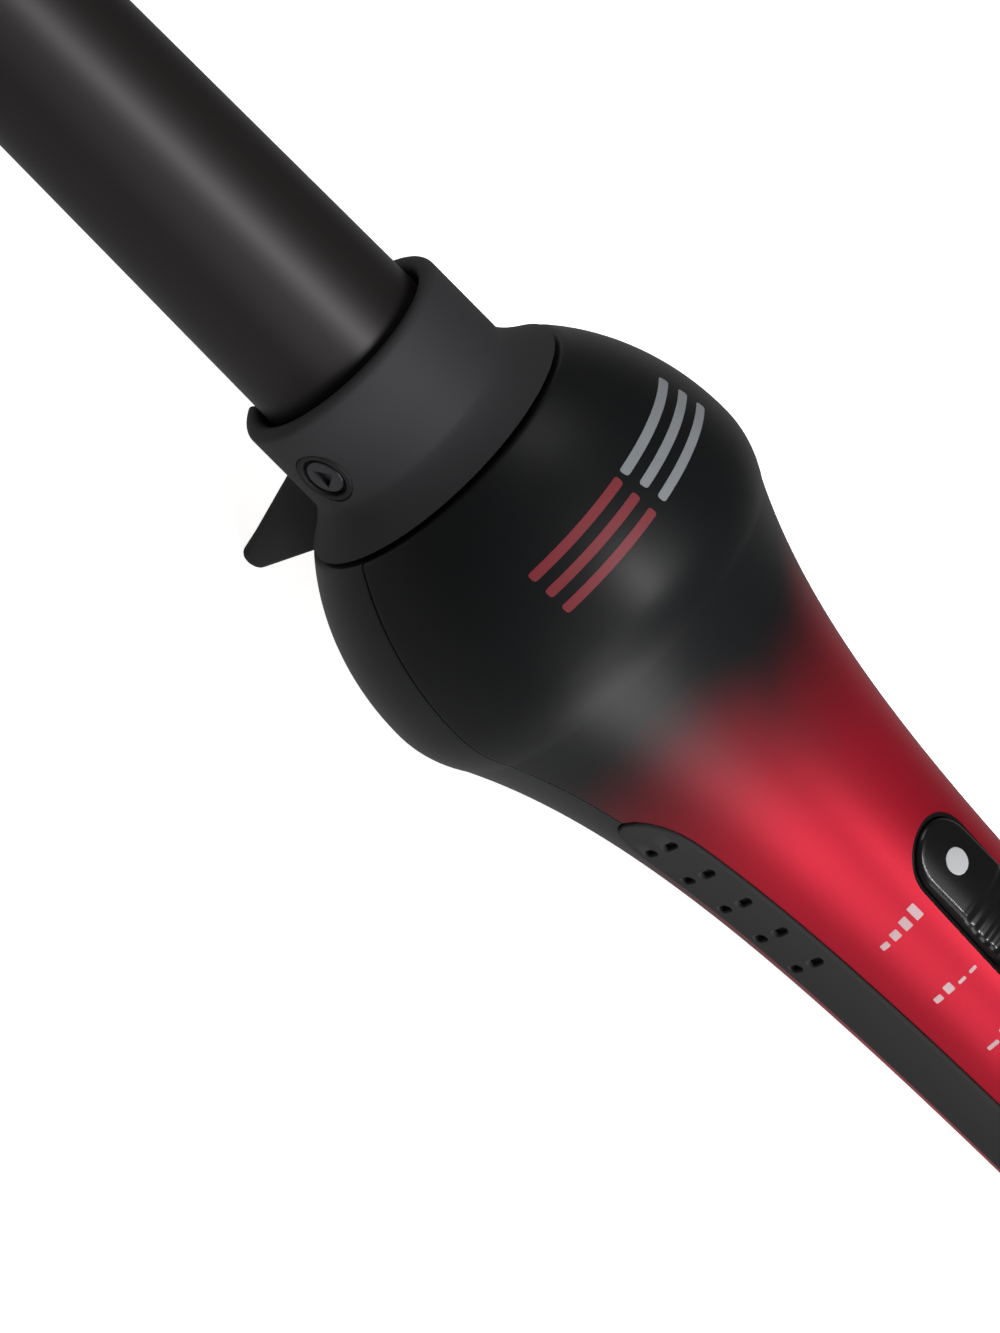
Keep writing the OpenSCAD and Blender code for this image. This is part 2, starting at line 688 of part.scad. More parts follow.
module lever_shell() color("#4a1519") lay() {
    difference() {
        union() {
            intersection() { body_tube(); half_space(-1); }
            for (place = screw_places) boss(place, -1);
            intersection() {
                revolve(concat(
                    [[0, web_end - 0.5]],
                    [for (x = steps(web_end - 0.5, pocket_end + pocket_wall, nose_steps)) [body_radius(x) - 0.2, x]],
                    [[0, pocket_end + pocket_wall]]));
                block([body_start, -pocket_w / 2 - pocket_wall, -far],
                      [far, pocket_w / 2 + pocket_wall, -pocket_top_z + pocket_wall]);
            }
        }
        rod(0, spigot_end + free_gap, spigot_flange_r + free_gap);
        for (side = [-1, 1]) strip_room(side, seat_gap);
        block([0, -pocket_w / 2, -far], [pocket_end, pocket_w / 2, -pocket_top_z]);
        for (place = screw_places) {
            translate([place.x, place.y, -far]) cylinder(d = screw_d + 2 * seat_gap, h = far + past);
            translate([place.x, place.y, -far])
                cylinder(d = screw_head_d + 2 * seat_gap, h = far - place.z);
        }
    }
    intersection() {
        tube(body_start, web_end, spigot_flange_r + free_gap + 0.5, spigot_r + seat_gap);
        difference() {
            half_space(-1);
            block([0, -pocket_w / 2, -far], [pocket_end, pocket_w / 2, 0]);
        }
    }
}

module grip_strip(side) difference() {
    intersection() {
        revolve(skin_outline(strip_x - 2, body_end - 2, grip_steps, strip_out, strip_in));
        translate([0, side * far / 2, 0]) across(far) strip_outline(0);
    }
    for (row = [0:dimple_rows - 1], up = [-1, 1]) {
        x = strip_x + dimple_start + row * dimple_pitch;
        translate([x, 0, up * strip_w / 5]) rotate([side * -90, 0, 0])
            translate([0, 0, body_radius(x) - dimple_deep])
                linear_extrude(height = far) rotate(90) pill(-dimple_len / 2, dimple_len / 2, dimple_w);
    }
}

module grip_strip_left() color("#2f3032") lay() grip_strip(-1);

module grip_strip_right() color("#2f3032") lay() grip_strip(1);

module shell_screws() color("#7d7f83") lay()
    for (place = screw_places)
        translate([place.x, place.y, -place.z]) difference() {
            union() {
                translate([0, 0, -screw_head_t]) cylinder(d = screw_head_d, h = screw_head_t);
                translate([0, 0, -past / 2]) cylinder(d = screw_d, h = place.z + screw_reach + past / 2);
            }
            for (turn = [0, 90])
                translate([0, 0, -screw_head_t]) rotate(turn)
                    cube([3.2, 0.7, 1.6], center = true);
        }

// --- inside the body ---

baffle_x = holder_flange_x + holder_flange_t + rib_t + 1.4;

module heat_baffle() color("#b8a98a") lay() difference() {
    rod(baffle_x, baffle_x + 1, body_radius(baffle_x) - wall - 1);
    for (side = [-1, 1])
        translate([baffle_x - past, side * 5, 0]) rotate([0, 90, 0]) cylinder(r = 2, h = 1 + 2 * past);
}

module terminal_block() color("#e9e5d6") lay() difference() {
    block([terminal_x, -8, -5], [terminal_x + terminal_len, 8, 5]);
    for (side = [-1, 1]) {
        translate([terminal_x - past, side * 4, 0]) rotate([0, 90, 0])
            cylinder(r = 1.6, h = terminal_len + 2 * past);
        for (x = [terminal_x + 3, terminal_x + terminal_len - 3])
            translate([x, side * 4, 0]) cylinder(r = 1.3, h = 6);
    }
}

board_holes = [[board_x + 3, 5.4], [board_x + 3, -5.4], [board_end - 3, 5.4], [board_end - 3, -5.4]];

module circuit_board() color("#1f6b3a") lay() difference() {
    block([board_x, -board_w / 2, board_z], [board_end, board_w / 2, board_top]);
    for (hole = board_holes)
        translate([hole.x, hole.y, board_z - past]) cylinder(r = 1.1, h = board_t + 2 * past);
}

module board_parts() color("#26272a") lay() {
    low = board_z - seat_gap;
    // capacitor, driver, fuse and three resistors under the board
    translate([board_x + 16, 0, low - 9]) cylinder(r = 4, h = 9);
    block([board_x + 26, -5, low - 4.6], [board_x + 36, 5, low]);
    translate([board_x + 41, -5, low - 2.6]) rotate([-90, 0, 0]) cylinder(r = 2.5, h = 10);
    for (y = [-4, 0, 4]) translate([board_x + 47, y, low - 1.3]) rotate([0, 90, 0]) cylinder(r = 1.2, h = 7);
}

module board_screws() color("#8d8f92") lay()
    for (hole = board_holes)
        translate([hole.x, hole.y, board_z - 2]) {
            cylinder(r = 1.0, h = board_t + 2 + seat_gap);
            translate([0, 0, board_t + 2 + seat_gap]) cylinder(r = 1.9, h = 1.2);
        }

module slide_switch() color("#101012") lay() difference() {
    block([switch_x, -switch_w / 2, board_top + seat_gap], [switch_end, switch_w / 2, switch_top]);
    block([stem_x - actuator_len / 2 - free_gap, -actuator_w / 2 - free_gap, switch_top - 2.6],
          [stem_x + slider_travel + actuator_len / 2 + free_gap, actuator_w / 2 + free_gap, far]);
}

module switch_actuator() color("#e6e6e6") lay()
    block([stem_x - actuator_len / 2, -actuator_w / 2, switch_top - 2.3],
          [stem_x + actuator_len / 2, actuator_w / 2, actuator_top_z]);

module slider_carrier() color("#4a4c50") lay() {
    block([stem_x - carrier_len / 2, -carrier_w / 2, carrier_z],
          [stem_x + carrier_len / 2, carrier_w / 2, carrier_z + carrier_t]);
    block([stem_x - stem_len / 2, -stem_w / 2, carrier_z + carrier_t - 0.1],
          [stem_x + stem_len / 2, stem_w / 2, stem_top_z]);
    for (side = [-1, 1])
        translate([stem_x + side * (actuator_len / 2 + seat_gap + prong_t / 2), 0, 0])
            block([-prong_t / 2, -carrier_w / 2, prong_low_z], [prong_t / 2, carrier_w / 2, carrier_z + 0.1]);
}

module slider_tray() color("#141416") lay() difference() {
    intersection() {
        upward(tray_floor_z - tray_floor_t, far) pill(tray_x, tray_end, tray_w);
        revolve(skin_outline(tray_x - 4, tray_end + 4, grip_steps, 0, grip_r));
    }
    upward(tray_floor_z, far) pill(tray_x + tray_wall, tray_end - tray_wall, tray_w - 2 * tray_wall);
    block([stem_x - stem_len / 2 - free_gap, -stem_slot_w / 2, 0],
          [stem_x + slider_travel + stem_len / 2 + free_gap, stem_slot_w / 2, far]);
}

// --- slider ---

module slider_knob() color("#17171a") lay() difference() {
    intersection() {
        upward(knob_base_z, far) pill(knob_x, knob_x + knob_len, knob_w);
        rod(knob_x - past, knob_x + knob_len + past, knob_crown);
    }
    // finger dish behind the dot
    translate([knob_x + knob_len * 0.66, 0, knob_crown + 13.4]) rotate([90, 0, 0])
        cylinder(r = 14, h = far, center = true);
    translate([knob_x + dot_x, 0, knob_crown - 0.8]) cylinder(d = dot_d + 2 * seat_gap, h = far);
    block([stem_x - stem_len / 2 - seat_gap, -stem_w / 2 - seat_gap, 0],
          [stem_x + stem_len / 2 + seat_gap, stem_w / 2 + seat_gap, stem_top_z + seat_gap]);
}

module slider_dot() color("#d5d6d8") lay()
    translate([knob_x + dot_x, 0, knob_crown - 0.75]) cylinder(d = dot_d, h = 0.8);

// --- tail ---

module mains_leads() color("#7a5a3a") lay()
    for (side = [-1, 1])
        wire([[board_end - 9, side * 2, board_z - 1.4], [board_end + 1, side * 2, -2.4],
              [board_end + 5, side * 6.5, -2.4], [body_end - 22, side * 7, -2.4],
              [body_end - 17.5, side * 6.5, -3]], lead_r);

module tail_cap() color("#1b1b1d") lay() difference() {
    round_angles = [0, 15, 30, 45, 60, 75, 90];
    inner_r = cap_spigot_r - 1.6;
    face_t = cap_end - swivel_flange_x - swivel_flange_t - 0.25;
    revolve(concat(
        [[inner_r, body_end - cap_spigot_len], [cap_spigot_r, body_end - cap_spigot_len],
         [cap_spigot_r, body_end + free_gap], [cap_r, body_end + free_gap]],
        [for (a = round_angles)
            [cap_r - tail_round + tail_round * cos(a), cap_end - tail_round + tail_round * sin(a)]],
        [[neck_r + run_gap, cap_end], [neck_r + run_gap, cap_end - face_t], [inner_r, cap_end - face_t]]));
}

module cord_swivel() color("#202124") lay() {
    revolve([
        [wire_hole_r, swivel_stem_x], [stem_r, swivel_stem_x], [stem_r, swivel_flange_x],
        [swivel_flange_r, swivel_flange_x], [swivel_flange_r, swivel_flange_x + swivel_flange_t],
        [neck_r, swivel_flange_x + swivel_flange_t], [neck_r, gland_x],
        [gland_big_r, gland_x], [gland_big_r, gland_x + 2], [gland_small_r, gland_end],
        [inlet_d / 2, gland_end], [inlet_d / 2, gland_end - inlet_deep],
        [wire_hole_r, gland_end - inlet_deep]]);
}

module contact_rings() color("#c9a24a") lay()
    for (x = contact_ring_places) tube(x, x + contact_ring_t, contact_ring_r, stem_r + seat_gap);

brush_block_z = contact_ring_r + 2;

module brush_holder() color("#d8d3c4") lay() difference() {
    block([swivel_stem_x - 1, -4, -brush_block_z - 2.4], [swivel_stem_x + 11, 4, -brush_block_z]);
    for (x = contact_ring_places)
        block([x - 0.1, -1.1, -far], [x + contact_ring_t + 0.1, 1.1, 0]);
}

module contact_brushes() color("#b98a3c") lay()
    for (x = contact_ring_places)
        block([x + 0.1, -1, -brush_block_z - 2], [x + contact_ring_t - 0.1, 1, -contact_ring_r - free_gap]);

barrel_tube();
tip_cap();
heater_plate();
heat_spreader_upper();
heat_spreader_lower();
spreader_spring();
thermistor();
thermal_fuse();
heater_leads();
barrel_holder();
barrel_screws();
collar();
pivot_bushes();
pivot_screws();
clamp_plate();
clamp_yoke();
clamp_rivets();
clamp_lever();
clamp_spring();
control_shell();
lever_shell();
grip_strip_left();
grip_strip_right();
shell_screws();
heat_baffle();
terminal_block();
circuit_board();
board_parts();
board_screws();
slide_switch();
switch_actuator();
slider_carrier();
slider_tray();
slider_knob();
slider_dot();
mains_leads();
tail_cap();
cord_swivel();
contact_rings();
brush_holder();
contact_brushes();
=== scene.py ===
"""Visual model of a curling iron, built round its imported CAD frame.

All shapes are drawn in millimetres in the iron's own axes (x from the collar's rim towards the cord,
z towards the controls, y across) and are then set into the row frame, in metres.
"""
import json
import logging
import math
from dataclasses import dataclass, field
from enum import Enum
from typing import Callable, Iterable, Optional, Sequence, Union

import bmesh
import bpy
from mathutils import Euler, Matrix, Vector


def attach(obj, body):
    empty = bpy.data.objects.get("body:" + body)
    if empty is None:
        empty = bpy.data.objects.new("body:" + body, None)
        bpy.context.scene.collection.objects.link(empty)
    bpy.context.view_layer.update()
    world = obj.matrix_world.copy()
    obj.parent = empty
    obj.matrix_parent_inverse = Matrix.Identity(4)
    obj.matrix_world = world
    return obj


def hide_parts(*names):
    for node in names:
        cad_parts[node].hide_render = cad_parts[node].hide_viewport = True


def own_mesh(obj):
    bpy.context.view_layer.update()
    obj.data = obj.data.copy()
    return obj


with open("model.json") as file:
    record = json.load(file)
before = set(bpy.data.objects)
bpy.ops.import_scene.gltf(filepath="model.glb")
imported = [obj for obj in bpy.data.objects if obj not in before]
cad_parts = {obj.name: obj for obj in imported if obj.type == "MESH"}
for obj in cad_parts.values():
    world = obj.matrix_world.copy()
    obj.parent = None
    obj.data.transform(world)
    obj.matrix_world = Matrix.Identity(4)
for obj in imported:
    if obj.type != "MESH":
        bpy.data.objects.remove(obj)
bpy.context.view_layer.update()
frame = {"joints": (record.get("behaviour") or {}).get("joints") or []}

LOG = logging.getLogger("curling_iron")
MM = 0.001
Point = tuple[float, float]
Number = Union[float, "Wire"]


# --- the iron's axes -------------------------------------------------------------------------------


def joint(name: str) -> dict:
    """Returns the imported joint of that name."""
    return next(j for j in frame["joints"] if j["name"] == name)


class IronSpace:
    """Carries shapes from the iron's own axes, in millimetres, to the row frame, in metres."""

    def __init__(self, pivot_behind_rim: float) -> None:
        """Finds the axes from the slider's direction and the clamp's pivot.

        Args:
            pivot_behind_rim: distance of the clamp's pivot behind the collar's rim, in millimetres.
        """
        self.along = Vector(joint("heat_slider")["axis"]).normalized()
        self.side = Vector((0, 1, 0))
        self.up = self.along.cross(self.side)
        self.origin = Vector(joint("clamp_hinge")["pos_m"]) - self.along * pivot_behind_rim * MM
        self.turn = Matrix((self.along, self.side, self.up)).transposed()
        self.matrix = Matrix.Translation(self.origin) @ self.turn.to_4x4() @ Matrix.Scale(MM, 4)

    def point(self, x: float, y: float, z: float) -> Vector:
        """Returns a point of the iron's axes in the row frame."""
        return self.matrix @ Vector((x, y, z))

    def vector(self, x: float, y: float, z: float) -> Vector:
        """Returns a direction of the iron's axes in the row frame."""
        return self.turn @ Vector((x, y, z))


SPACE = IronSpace(pivot_behind_rim=8.5)


# --- mesh tools ------------------------------------------------------------------------------------


def new_mesh() -> bmesh.types.BMesh:
    """Returns an empty bmesh."""
    return bmesh.new()


def tidy(bm: bmesh.types.BMesh, reach: float = 1e-4) -> None:
    """Merges doubles and turns every face outwards."""
    bmesh.ops.remove_doubles(bm, verts=bm.verts, dist=reach)
    bmesh.ops.recalc_face_normals(bm, faces=bm.faces)


def lathe(profile: Sequence[Point], steps: int = 160, start: float = 0.0, angle: float = 360.0,
          closed: bool = True) -> bmesh.types.BMesh:
    """Spins a profile about the iron's axis.

    Args:
        profile: points of (x, radius).
        steps: faces round the axis.
        start: angle where the spin starts, from the controls towards the right side, in degrees.
        angle: angle of the spin in degrees.
        closed: whether the last point joins the first.

    Returns:
        The spun bmesh, capped where it is part of a turn.
    """
    bm = new_mesh()
    first = Matrix.Rotation(-math.radians(start), 4, "X")
    verts = [bm.verts.new(first @ Vector((x, 0, r))) for x, r in profile]
    pairs = list(zip(verts, verts[1:])) + ([(verts[-1], verts[0])] if closed else [])
    edges = [bm.edges.new(pair) for pair in pairs]
    full = abs(angle - 360) < 1e-6
    bmesh.ops.spin(bm, geom=verts + edges, cent=(0, 0, 0), axis=(1, 0, 0), dvec=(0, 0, 0),
                   angle=-math.radians(angle), steps=steps, use_merge=full, use_duplicate=False)
    if not full:
        bmesh.ops.holes_fill(bm, edges=[e for e in bm.edges if e.is_boundary], sides=0)
    tidy(bm)
    return bm


def slab(outline: Sequence[Point], low: float, high: float) -> bmesh.types.BMesh:
    """Extrudes a flat outline of (x, y) between two heights."""
    bm = new_mesh()
    face = bm.faces.new([bm.verts.new((x, y, low)) for x, y in outline])
    made = bmesh.ops.extrude_face_region(bm, geom=[face])
    lifted = [g for g in made["geom"] if isinstance(g, bmesh.types.BMVert)]
    bmesh.ops.translate(bm, verts=lifted, vec=(0, 0, high - low))
    tidy(bm)
    return bm


def pill(x0: float, x1: float, width: float, turns: int = 24) -> list[Point]:
    """Returns a round-ended outline along x."""
    half = width / 2
    quarter = [math.pi * i / turns for i in range(turns + 1)]
    back = [(x1 - half + half * math.sin(a), half * math.cos(a)) for a in quarter]
    front = [(x0 + half - half * math.sin(a), -half * math.cos(a)) for a in quarter]
    return back + front


def slices(bm: bmesh.types.BMesh, axis: int, places: Iterable[float]) -> None:
    """Cuts a mesh with planes square to an axis, so that it can bend there."""
    normal = [0.0, 0.0, 0.0]
    normal[axis] = 1.0
    for place in places:
        spot = [0.0, 0.0, 0.0]
        spot[axis] = place
        geom = list(bm.verts) + list(bm.edges) + list(bm.faces)
        bmesh.ops.bisect_plane(bm, geom=geom, plane_co=spot, plane_no=normal, dist=1e-5)


def spread(a: float, b: float, n: int) -> list[float]:
    """Returns n + 1 values from a to b."""
    return [a + (b - a) * i / n for i in range(n + 1)]


def soften(bm: bmesh.types.BMesh, width: float, segments: int = 3, least: float = 30.0,
           want: Optional[Callable[[bmesh.types.BMEdge], bool]] = None) -> None:
    """Rounds the edges that turn more than an angle.

    Args:
        bm: the mesh.
        width: width of the rounding in millimetres.
        segments: faces across it.
        least: smallest angle between faces that counts as an edge, in degrees.
        want: further test that an edge must pass.
    """
    edges = [e for e in bm.edges
             if e.is_manifold and e.calc_face_angle(0) > math.radians(least) and (want is None or want(e))]
    bmesh.ops.bevel(bm, geom=edges, offset=width, offset_type="OFFSET", segments=segments, profile=0.5,
                    affect="EDGES", clamp_overlap=True, material=-1)


def plain_object(name: str, bm: bmesh.types.BMesh) -> bpy.types.Object:
    """Makes a bmesh an object in the scene, still in millimetres."""
    mesh = bpy.data.meshes.new(name)
    bm.to_mesh(mesh)
    bm.free()
    obj = bpy.data.objects.new(name, mesh)
    bpy.context.scene.collection.objects.link(obj)
    return obj


def carve(obj: bpy.types.Object, cutters: Sequence[bmesh.types.BMesh], operation: str = "DIFFERENCE") -> None:
    """Cuts shapes out of an object, or keeps what lies in them, and drops the cutters."""
    for bm in cutters:
        cutter = plain_object("cutter", bm)
        change = obj.modifiers.new("carve", "BOOLEAN")
        change.solver = "EXACT"
        change.operation = operation
        change.object = cutter
        graph = bpy.context.evaluated_depsgraph_get()
        mesh = bpy.data.meshes.new_from_object(obj.evaluated_get(graph))
        obj.modifiers.clear()
        old = obj.data
        obj.data = mesh
        bpy.data.meshes.remove(old)
        bpy.data.objects.remove(cutter)


def moved(bm: bmesh.types.BMesh, matrix: Matrix) -> bmesh.types.BMesh:
    """Moves a whole bmesh."""
    bmesh.ops.transform(bm, matrix=matrix, verts=bm.verts)
    return bm


def box(low: Sequence[float], high: Sequence[float]) -> bmesh.types.BMesh:
    """Returns a box between two corners."""
    bm = new_mesh()
    size = [b - a for a, b in zip(low, high)]
    middle = [(a + b) / 2 for a, b in zip(low, high)]
    bmesh.ops.create_cube(bm, size=1, matrix=Matrix.Translation(middle) @ Matrix.Diagonal((*size, 1)))
    return bm


def peg(radius: float, low: float, high: float, matrix: Matrix, sides: int = 48) -> bmesh.types.BMesh:
    """Returns a round or many-sided peg along z between two heights, set in place by a matrix."""
    bm = new_mesh()
    bmesh.ops.create_cone(bm, cap_ends=True, cap_tris=False, segments=sides, radius1=radius, radius2=radius,
                          depth=high - low, matrix=matrix @ Matrix.Translation((0, 0, (low + high) / 2)))
    return bm


def joined(parts: Sequence[bmesh.types.BMesh]) -> bmesh.types.BMesh:
    """Puts several bmeshes into one."""
    whole = new_mesh()
    for part in parts:
        mesh = bpy.data.meshes.new("part")
        part.to_mesh(mesh)
        part.free()
        whole.from_mesh(mesh)
        bpy.data.meshes.remove(mesh)
    return whole


def finish_piece(obj: bpy.types.Object, material: bpy.types.Material,
                 sharp: float = 32.0) -> bpy.types.Object:
    """Sets a piece into the row frame, smooths its shading and gives it its material.

    Args:
        obj: the piece, in millimetres in the iron's axes.
        material: its finish.
        sharp: angle between faces above which an edge stays sharp, in degrees.

    Returns:
        The same object.
    """
    obj.data.transform(SPACE.matrix)
    obj.data.update()
    obj.data.shade_smooth()
    obj.data.set_sharp_from_angle(angle=math.radians(sharp))
    obj.data.materials.clear()
    obj.data.materials.append(material)
    return obj


def declare(obj: bpy.types.Object, body: str, replaces: Sequence[str] = ()) -> None:
    """Tells the frame which body a piece rides on and which nodes it stands for."""
    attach(obj, body)
    if replaces:
        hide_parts(*replaces)
    LOG.info("%s rides on %s, %d faces", obj.name, body, len(obj.data.polygons))


def stack(levels: Sequence[tuple[Sequence[Point], float]]) -> bmesh.types.BMesh:
    """Joins outlines of as many points each, at rising heights, into a closed solid.

    Args:
        levels: pairs of an outline of (x, y) and its height.

    Returns:
        The solid.
    """
    bm = new_mesh()
    loops = []
    for outline, height in levels:
        verts = [bm.verts.new((x, y, height)) for x, y in outline]
        loops.append([bm.edges.new(pair) for pair in zip(verts, verts[1:] + verts[:1])])
    for low, high in zip(loops, loops[1:]):
        bmesh.ops.bridge_loops(bm, edges=low + high)
    bmesh.ops.holes_fill(bm, edges=[e for e in bm.edges if e.is_boundary], sides=0)
    bmesh.ops.recalc_face_normals(bm, faces=bm.faces)
    return bm


def upright(outline: Sequence[Point], half: float) -> bmesh.types.BMesh:
    """Extrudes a side view of (x, z) to both sides of the iron's middle plane."""
    return moved(slab(outline, -half, half), Matrix.Rotation(math.pi / 2, 4, "X"))


def taken(obj: bpy.types.Object) -> bmesh.types.BMesh:
    """Turns an object back into a bmesh and drops the object."""
    bm = new_mesh()
    bm.from_mesh(obj.data)
    bpy.data.objects.remove(obj)
    return bm


# --- shader tools ----------------------------------------------------------------------------------


class Wire:
    """A value in a material's nodes. Arithmetic on it adds Math nodes."""

    def __init__(self, graph: "Graph", socket: bpy.types.NodeSocket) -> None:
        """Wraps an output socket of a graph."""
        self.graph = graph
        self.socket = socket

    def math(self, operation: str, *others: Number, first: bool = True) -> "Wire":
        """Adds one Math node.

        Args:
            operation: the Math node's operation.
            others: the other operands.
            first: whether this value is the first operand.

        Returns:
            The node's result.
        """
        values = (self, *others) if first else (*others, self)
        return self.graph.wire("ShaderNodeMath", {"operation": operation}, dict(enumerate(values)))

    def __add__(self, other: Number) -> "Wire":
        """Adds."""
        return self.math("ADD", other)

    __radd__ = __add__

    def __sub__(self, other: Number) -> "Wire":
        """Subtracts."""
        return self.math("SUBTRACT", other)

    def __rsub__(self, other: Number) -> "Wire":
        """Subtracts from a number."""
        return self.math("SUBTRACT", other, first=False)

    def __mul__(self, other: Number) -> "Wire":
        """Multiplies."""
        return self.math("MULTIPLY", other)

    __rmul__ = __mul__

    def __truediv__(self, other: Number) -> "Wire":
        """Divides."""
        return self.math("DIVIDE", other)

    def __rtruediv__(self, other: Number) -> "Wire":
        """Divides a number."""
        return self.math("DIVIDE", other, first=False)

    def __pow__(self, other: Number) -> "Wire":
        """Raises to a power."""
        return self.math("POWER", other)

    def ramp(self, low: float, high: float, to_low: float = 0.0, to_high: float = 1.0) -> "Wire":
        """Maps a range smoothly onto another."""
        return self.graph.wire(
            "ShaderNodeMapRange", {"interpolation_type": "SMOOTHSTEP", "clamp": True},
            {"Value": self, "From Min": low, "From Max": high, "To Min": to_low, "To Max": to_high})


class Graph:
    """The nodes of one material."""

    def __init__(self, name: str) -> None:
        """Starts an empty material of that name."""
        self.material = bpy.data.materials.new(name)
        self.material.use_nodes = True
        self.tree = self.material.node_tree
        self.tree.nodes.clear()

    def node(self, kind: str, settings: Optional[dict] = None,
             inputs: Optional[dict] = None) -> bpy.types.Node:
        """Adds one node.

        Args:
            kind: the node's type.
            settings: properties that are set first.
            inputs: values or wires by socket name or number.

        Returns:
            The node.
        """
        node = self.tree.nodes.new(kind)
        for key, value in (settings or {}).items():
            setattr(node, key, value)
        for key, value in (inputs or {}).items():
            socket = node.inputs[key]
            if isinstance(value, Wire):
                self.tree.links.new(value.socket, socket)
            else:
                socket.default_value = value
        return node

    def wire(self, kind: str, settings: Optional[dict] = None, inputs: Optional[dict] = None,
             output: Union[int, str] = 0) -> Wire:
        """Adds one node and returns one of its outputs."""
        return Wire(self, self.node(kind, settings, inputs).outputs[output])

    def place(self) -> Wire:
        """Returns the point on the object in the row frame, in metres."""
        return self.wire("ShaderNodeTexCoord", output="Object")

    def iron_place(self) -> Wire:
        """Returns the point in the iron's own axes, in millimetres."""
        back = SPACE.turn.transposed()
        shift = -(back @ SPACE.origin) / MM
        return self.wire("ShaderNodeMapping", {"vector_type": "POINT"},
                         {"Vector": self.place(), "Location": shift, "Rotation": back.to_euler(),
                          "Scale": (1 / MM, 1 / MM, 1 / MM)})

    def parts(self, vector: Wire) -> tuple[Wire, Wire, Wire]:
        """Splits a vector into its three parts."""
        node = self.node("ShaderNodeSeparateXYZ", inputs={0: vector})
        return tuple(Wire(self, out) for out in node.outputs)

    def noise(self, vector: Wire, scale: float, detail: float = 2.0, rough: float = 0.5) -> Wire:
        """Returns noise between 0 and 1."""
        return self.wire("ShaderNodeTexNoise", {"noise_dimensions": "3D"},
                         {"Vector": vector, "Scale": scale, "Detail": detail, "Roughness": rough})

    def stretched(self, vector: Wire, scale: Sequence[float]) -> Wire:
        """Scales a vector part by part."""
        return self.wire("ShaderNodeVectorMath", {"operation": "MULTIPLY"}, {0: vector, 1: tuple(scale)})

    def mix(self, factor: Number, low: Union[Wire, Sequence[float]],
            high: Union[Wire, Sequence[float]]) -> Wire:
        """Mixes two colours."""
        node = self.node("ShaderNodeMix", {"data_type": "RGBA", "clamp_factor": True})
        for socket, value in ((node.inputs[0], factor), (node.inputs[6], low), (node.inputs[7], high)):
            if isinstance(value, Wire):
                self.tree.links.new(value.socket, socket)
            else:
                socket.default_value = value if socket is node.inputs[0] else (*value, 1)
        return Wire(self, node.outputs[2])

    def bump(self, height: Wire, strength: float, distance: float, over: Optional[Wire] = None) -> Wire:
        """Returns a normal that a height bends."""
        inputs = {"Height": height, "Strength": strength, "Distance": distance}
        if over is not None:
            inputs["Normal"] = over
        return self.wire("ShaderNodeBump", inputs=inputs, output="Normal")

    def surface(self, inputs: dict) -> bpy.types.Material:
        """Ends the material in a Principled shader with those inputs."""
        shader = self.node("ShaderNodeBsdfPrincipled", inputs=inputs)
        out = self.node("ShaderNodeOutputMaterial")
        self.tree.links.new(shader.outputs[0], out.inputs[0])
        return self.material


# --- finishes --------------------------------------------------------------------------------------


@dataclass(frozen=True)
class Plastic:
    """Moulded plastic or rubber with a fine grain and slightly uneven gloss."""

    name: str
    colour: tuple[float, float, float]
    rough: float = 0.5
    grain_mm: float = 0.35
    grain_depth: float = 0.25
    specular: float = 0.4
    coat: float = 0.0
    coat_rough: float = 0.1
    uneven: float = 0.06

    def make(self) -> bpy.types.Material:
        """Returns the material."""
        g = Graph(self.name)
        place = g.iron_place()
        grain = g.noise(place, 1 / self.grain_mm, detail=2)
        cloud = g.noise(place, 0.06, detail=3)
        shade = g.mix(cloud.ramp(0.3, 0.7), [c * 0.9 for c in self.colour], [c * 1.1 for c in self.colour])
        rough = (cloud - 0.5) * self.uneven * 2 + (grain - 0.5) * self.uneven + self.rough
        return g.surface({"Base Color": shade, "Roughness": rough, "Specular IOR Level": self.specular,
                          "Coat Weight": self.coat, "Coat Roughness": self.coat_rough,
                          "Normal": g.bump(grain, self.grain_depth, 0.00005)})


@dataclass(frozen=True)
class Metal:
    """Bare or plated metal with fine lines left by its making."""

    name: str
    colour: tuple[float, float, float]
    rough: float = 0.35
    line_mm: tuple[float, float, float] = (0.4, 0.4, 6.0)
    depth: float = 0.15

    def make(self) -> bpy.types.Material:
        """Returns the material."""
        g = Graph(self.name)
        place = g.iron_place()
        lines = g.noise(g.stretched(place, [1 / mm for mm in self.line_mm]), 1.0, detail=3)
        stain = g.noise(place, 0.25, detail=2)
        shade = g.mix(stain.ramp(0.35, 0.7), [c * 0.82 for c in self.colour], self.colour)
        return g.surface({"Base Color": shade, "Metallic": 1.0,
                          "Roughness": (lines - 0.5) * 0.16 + self.rough,
                          "Normal": g.bump(lines, self.depth, 0.00004)})


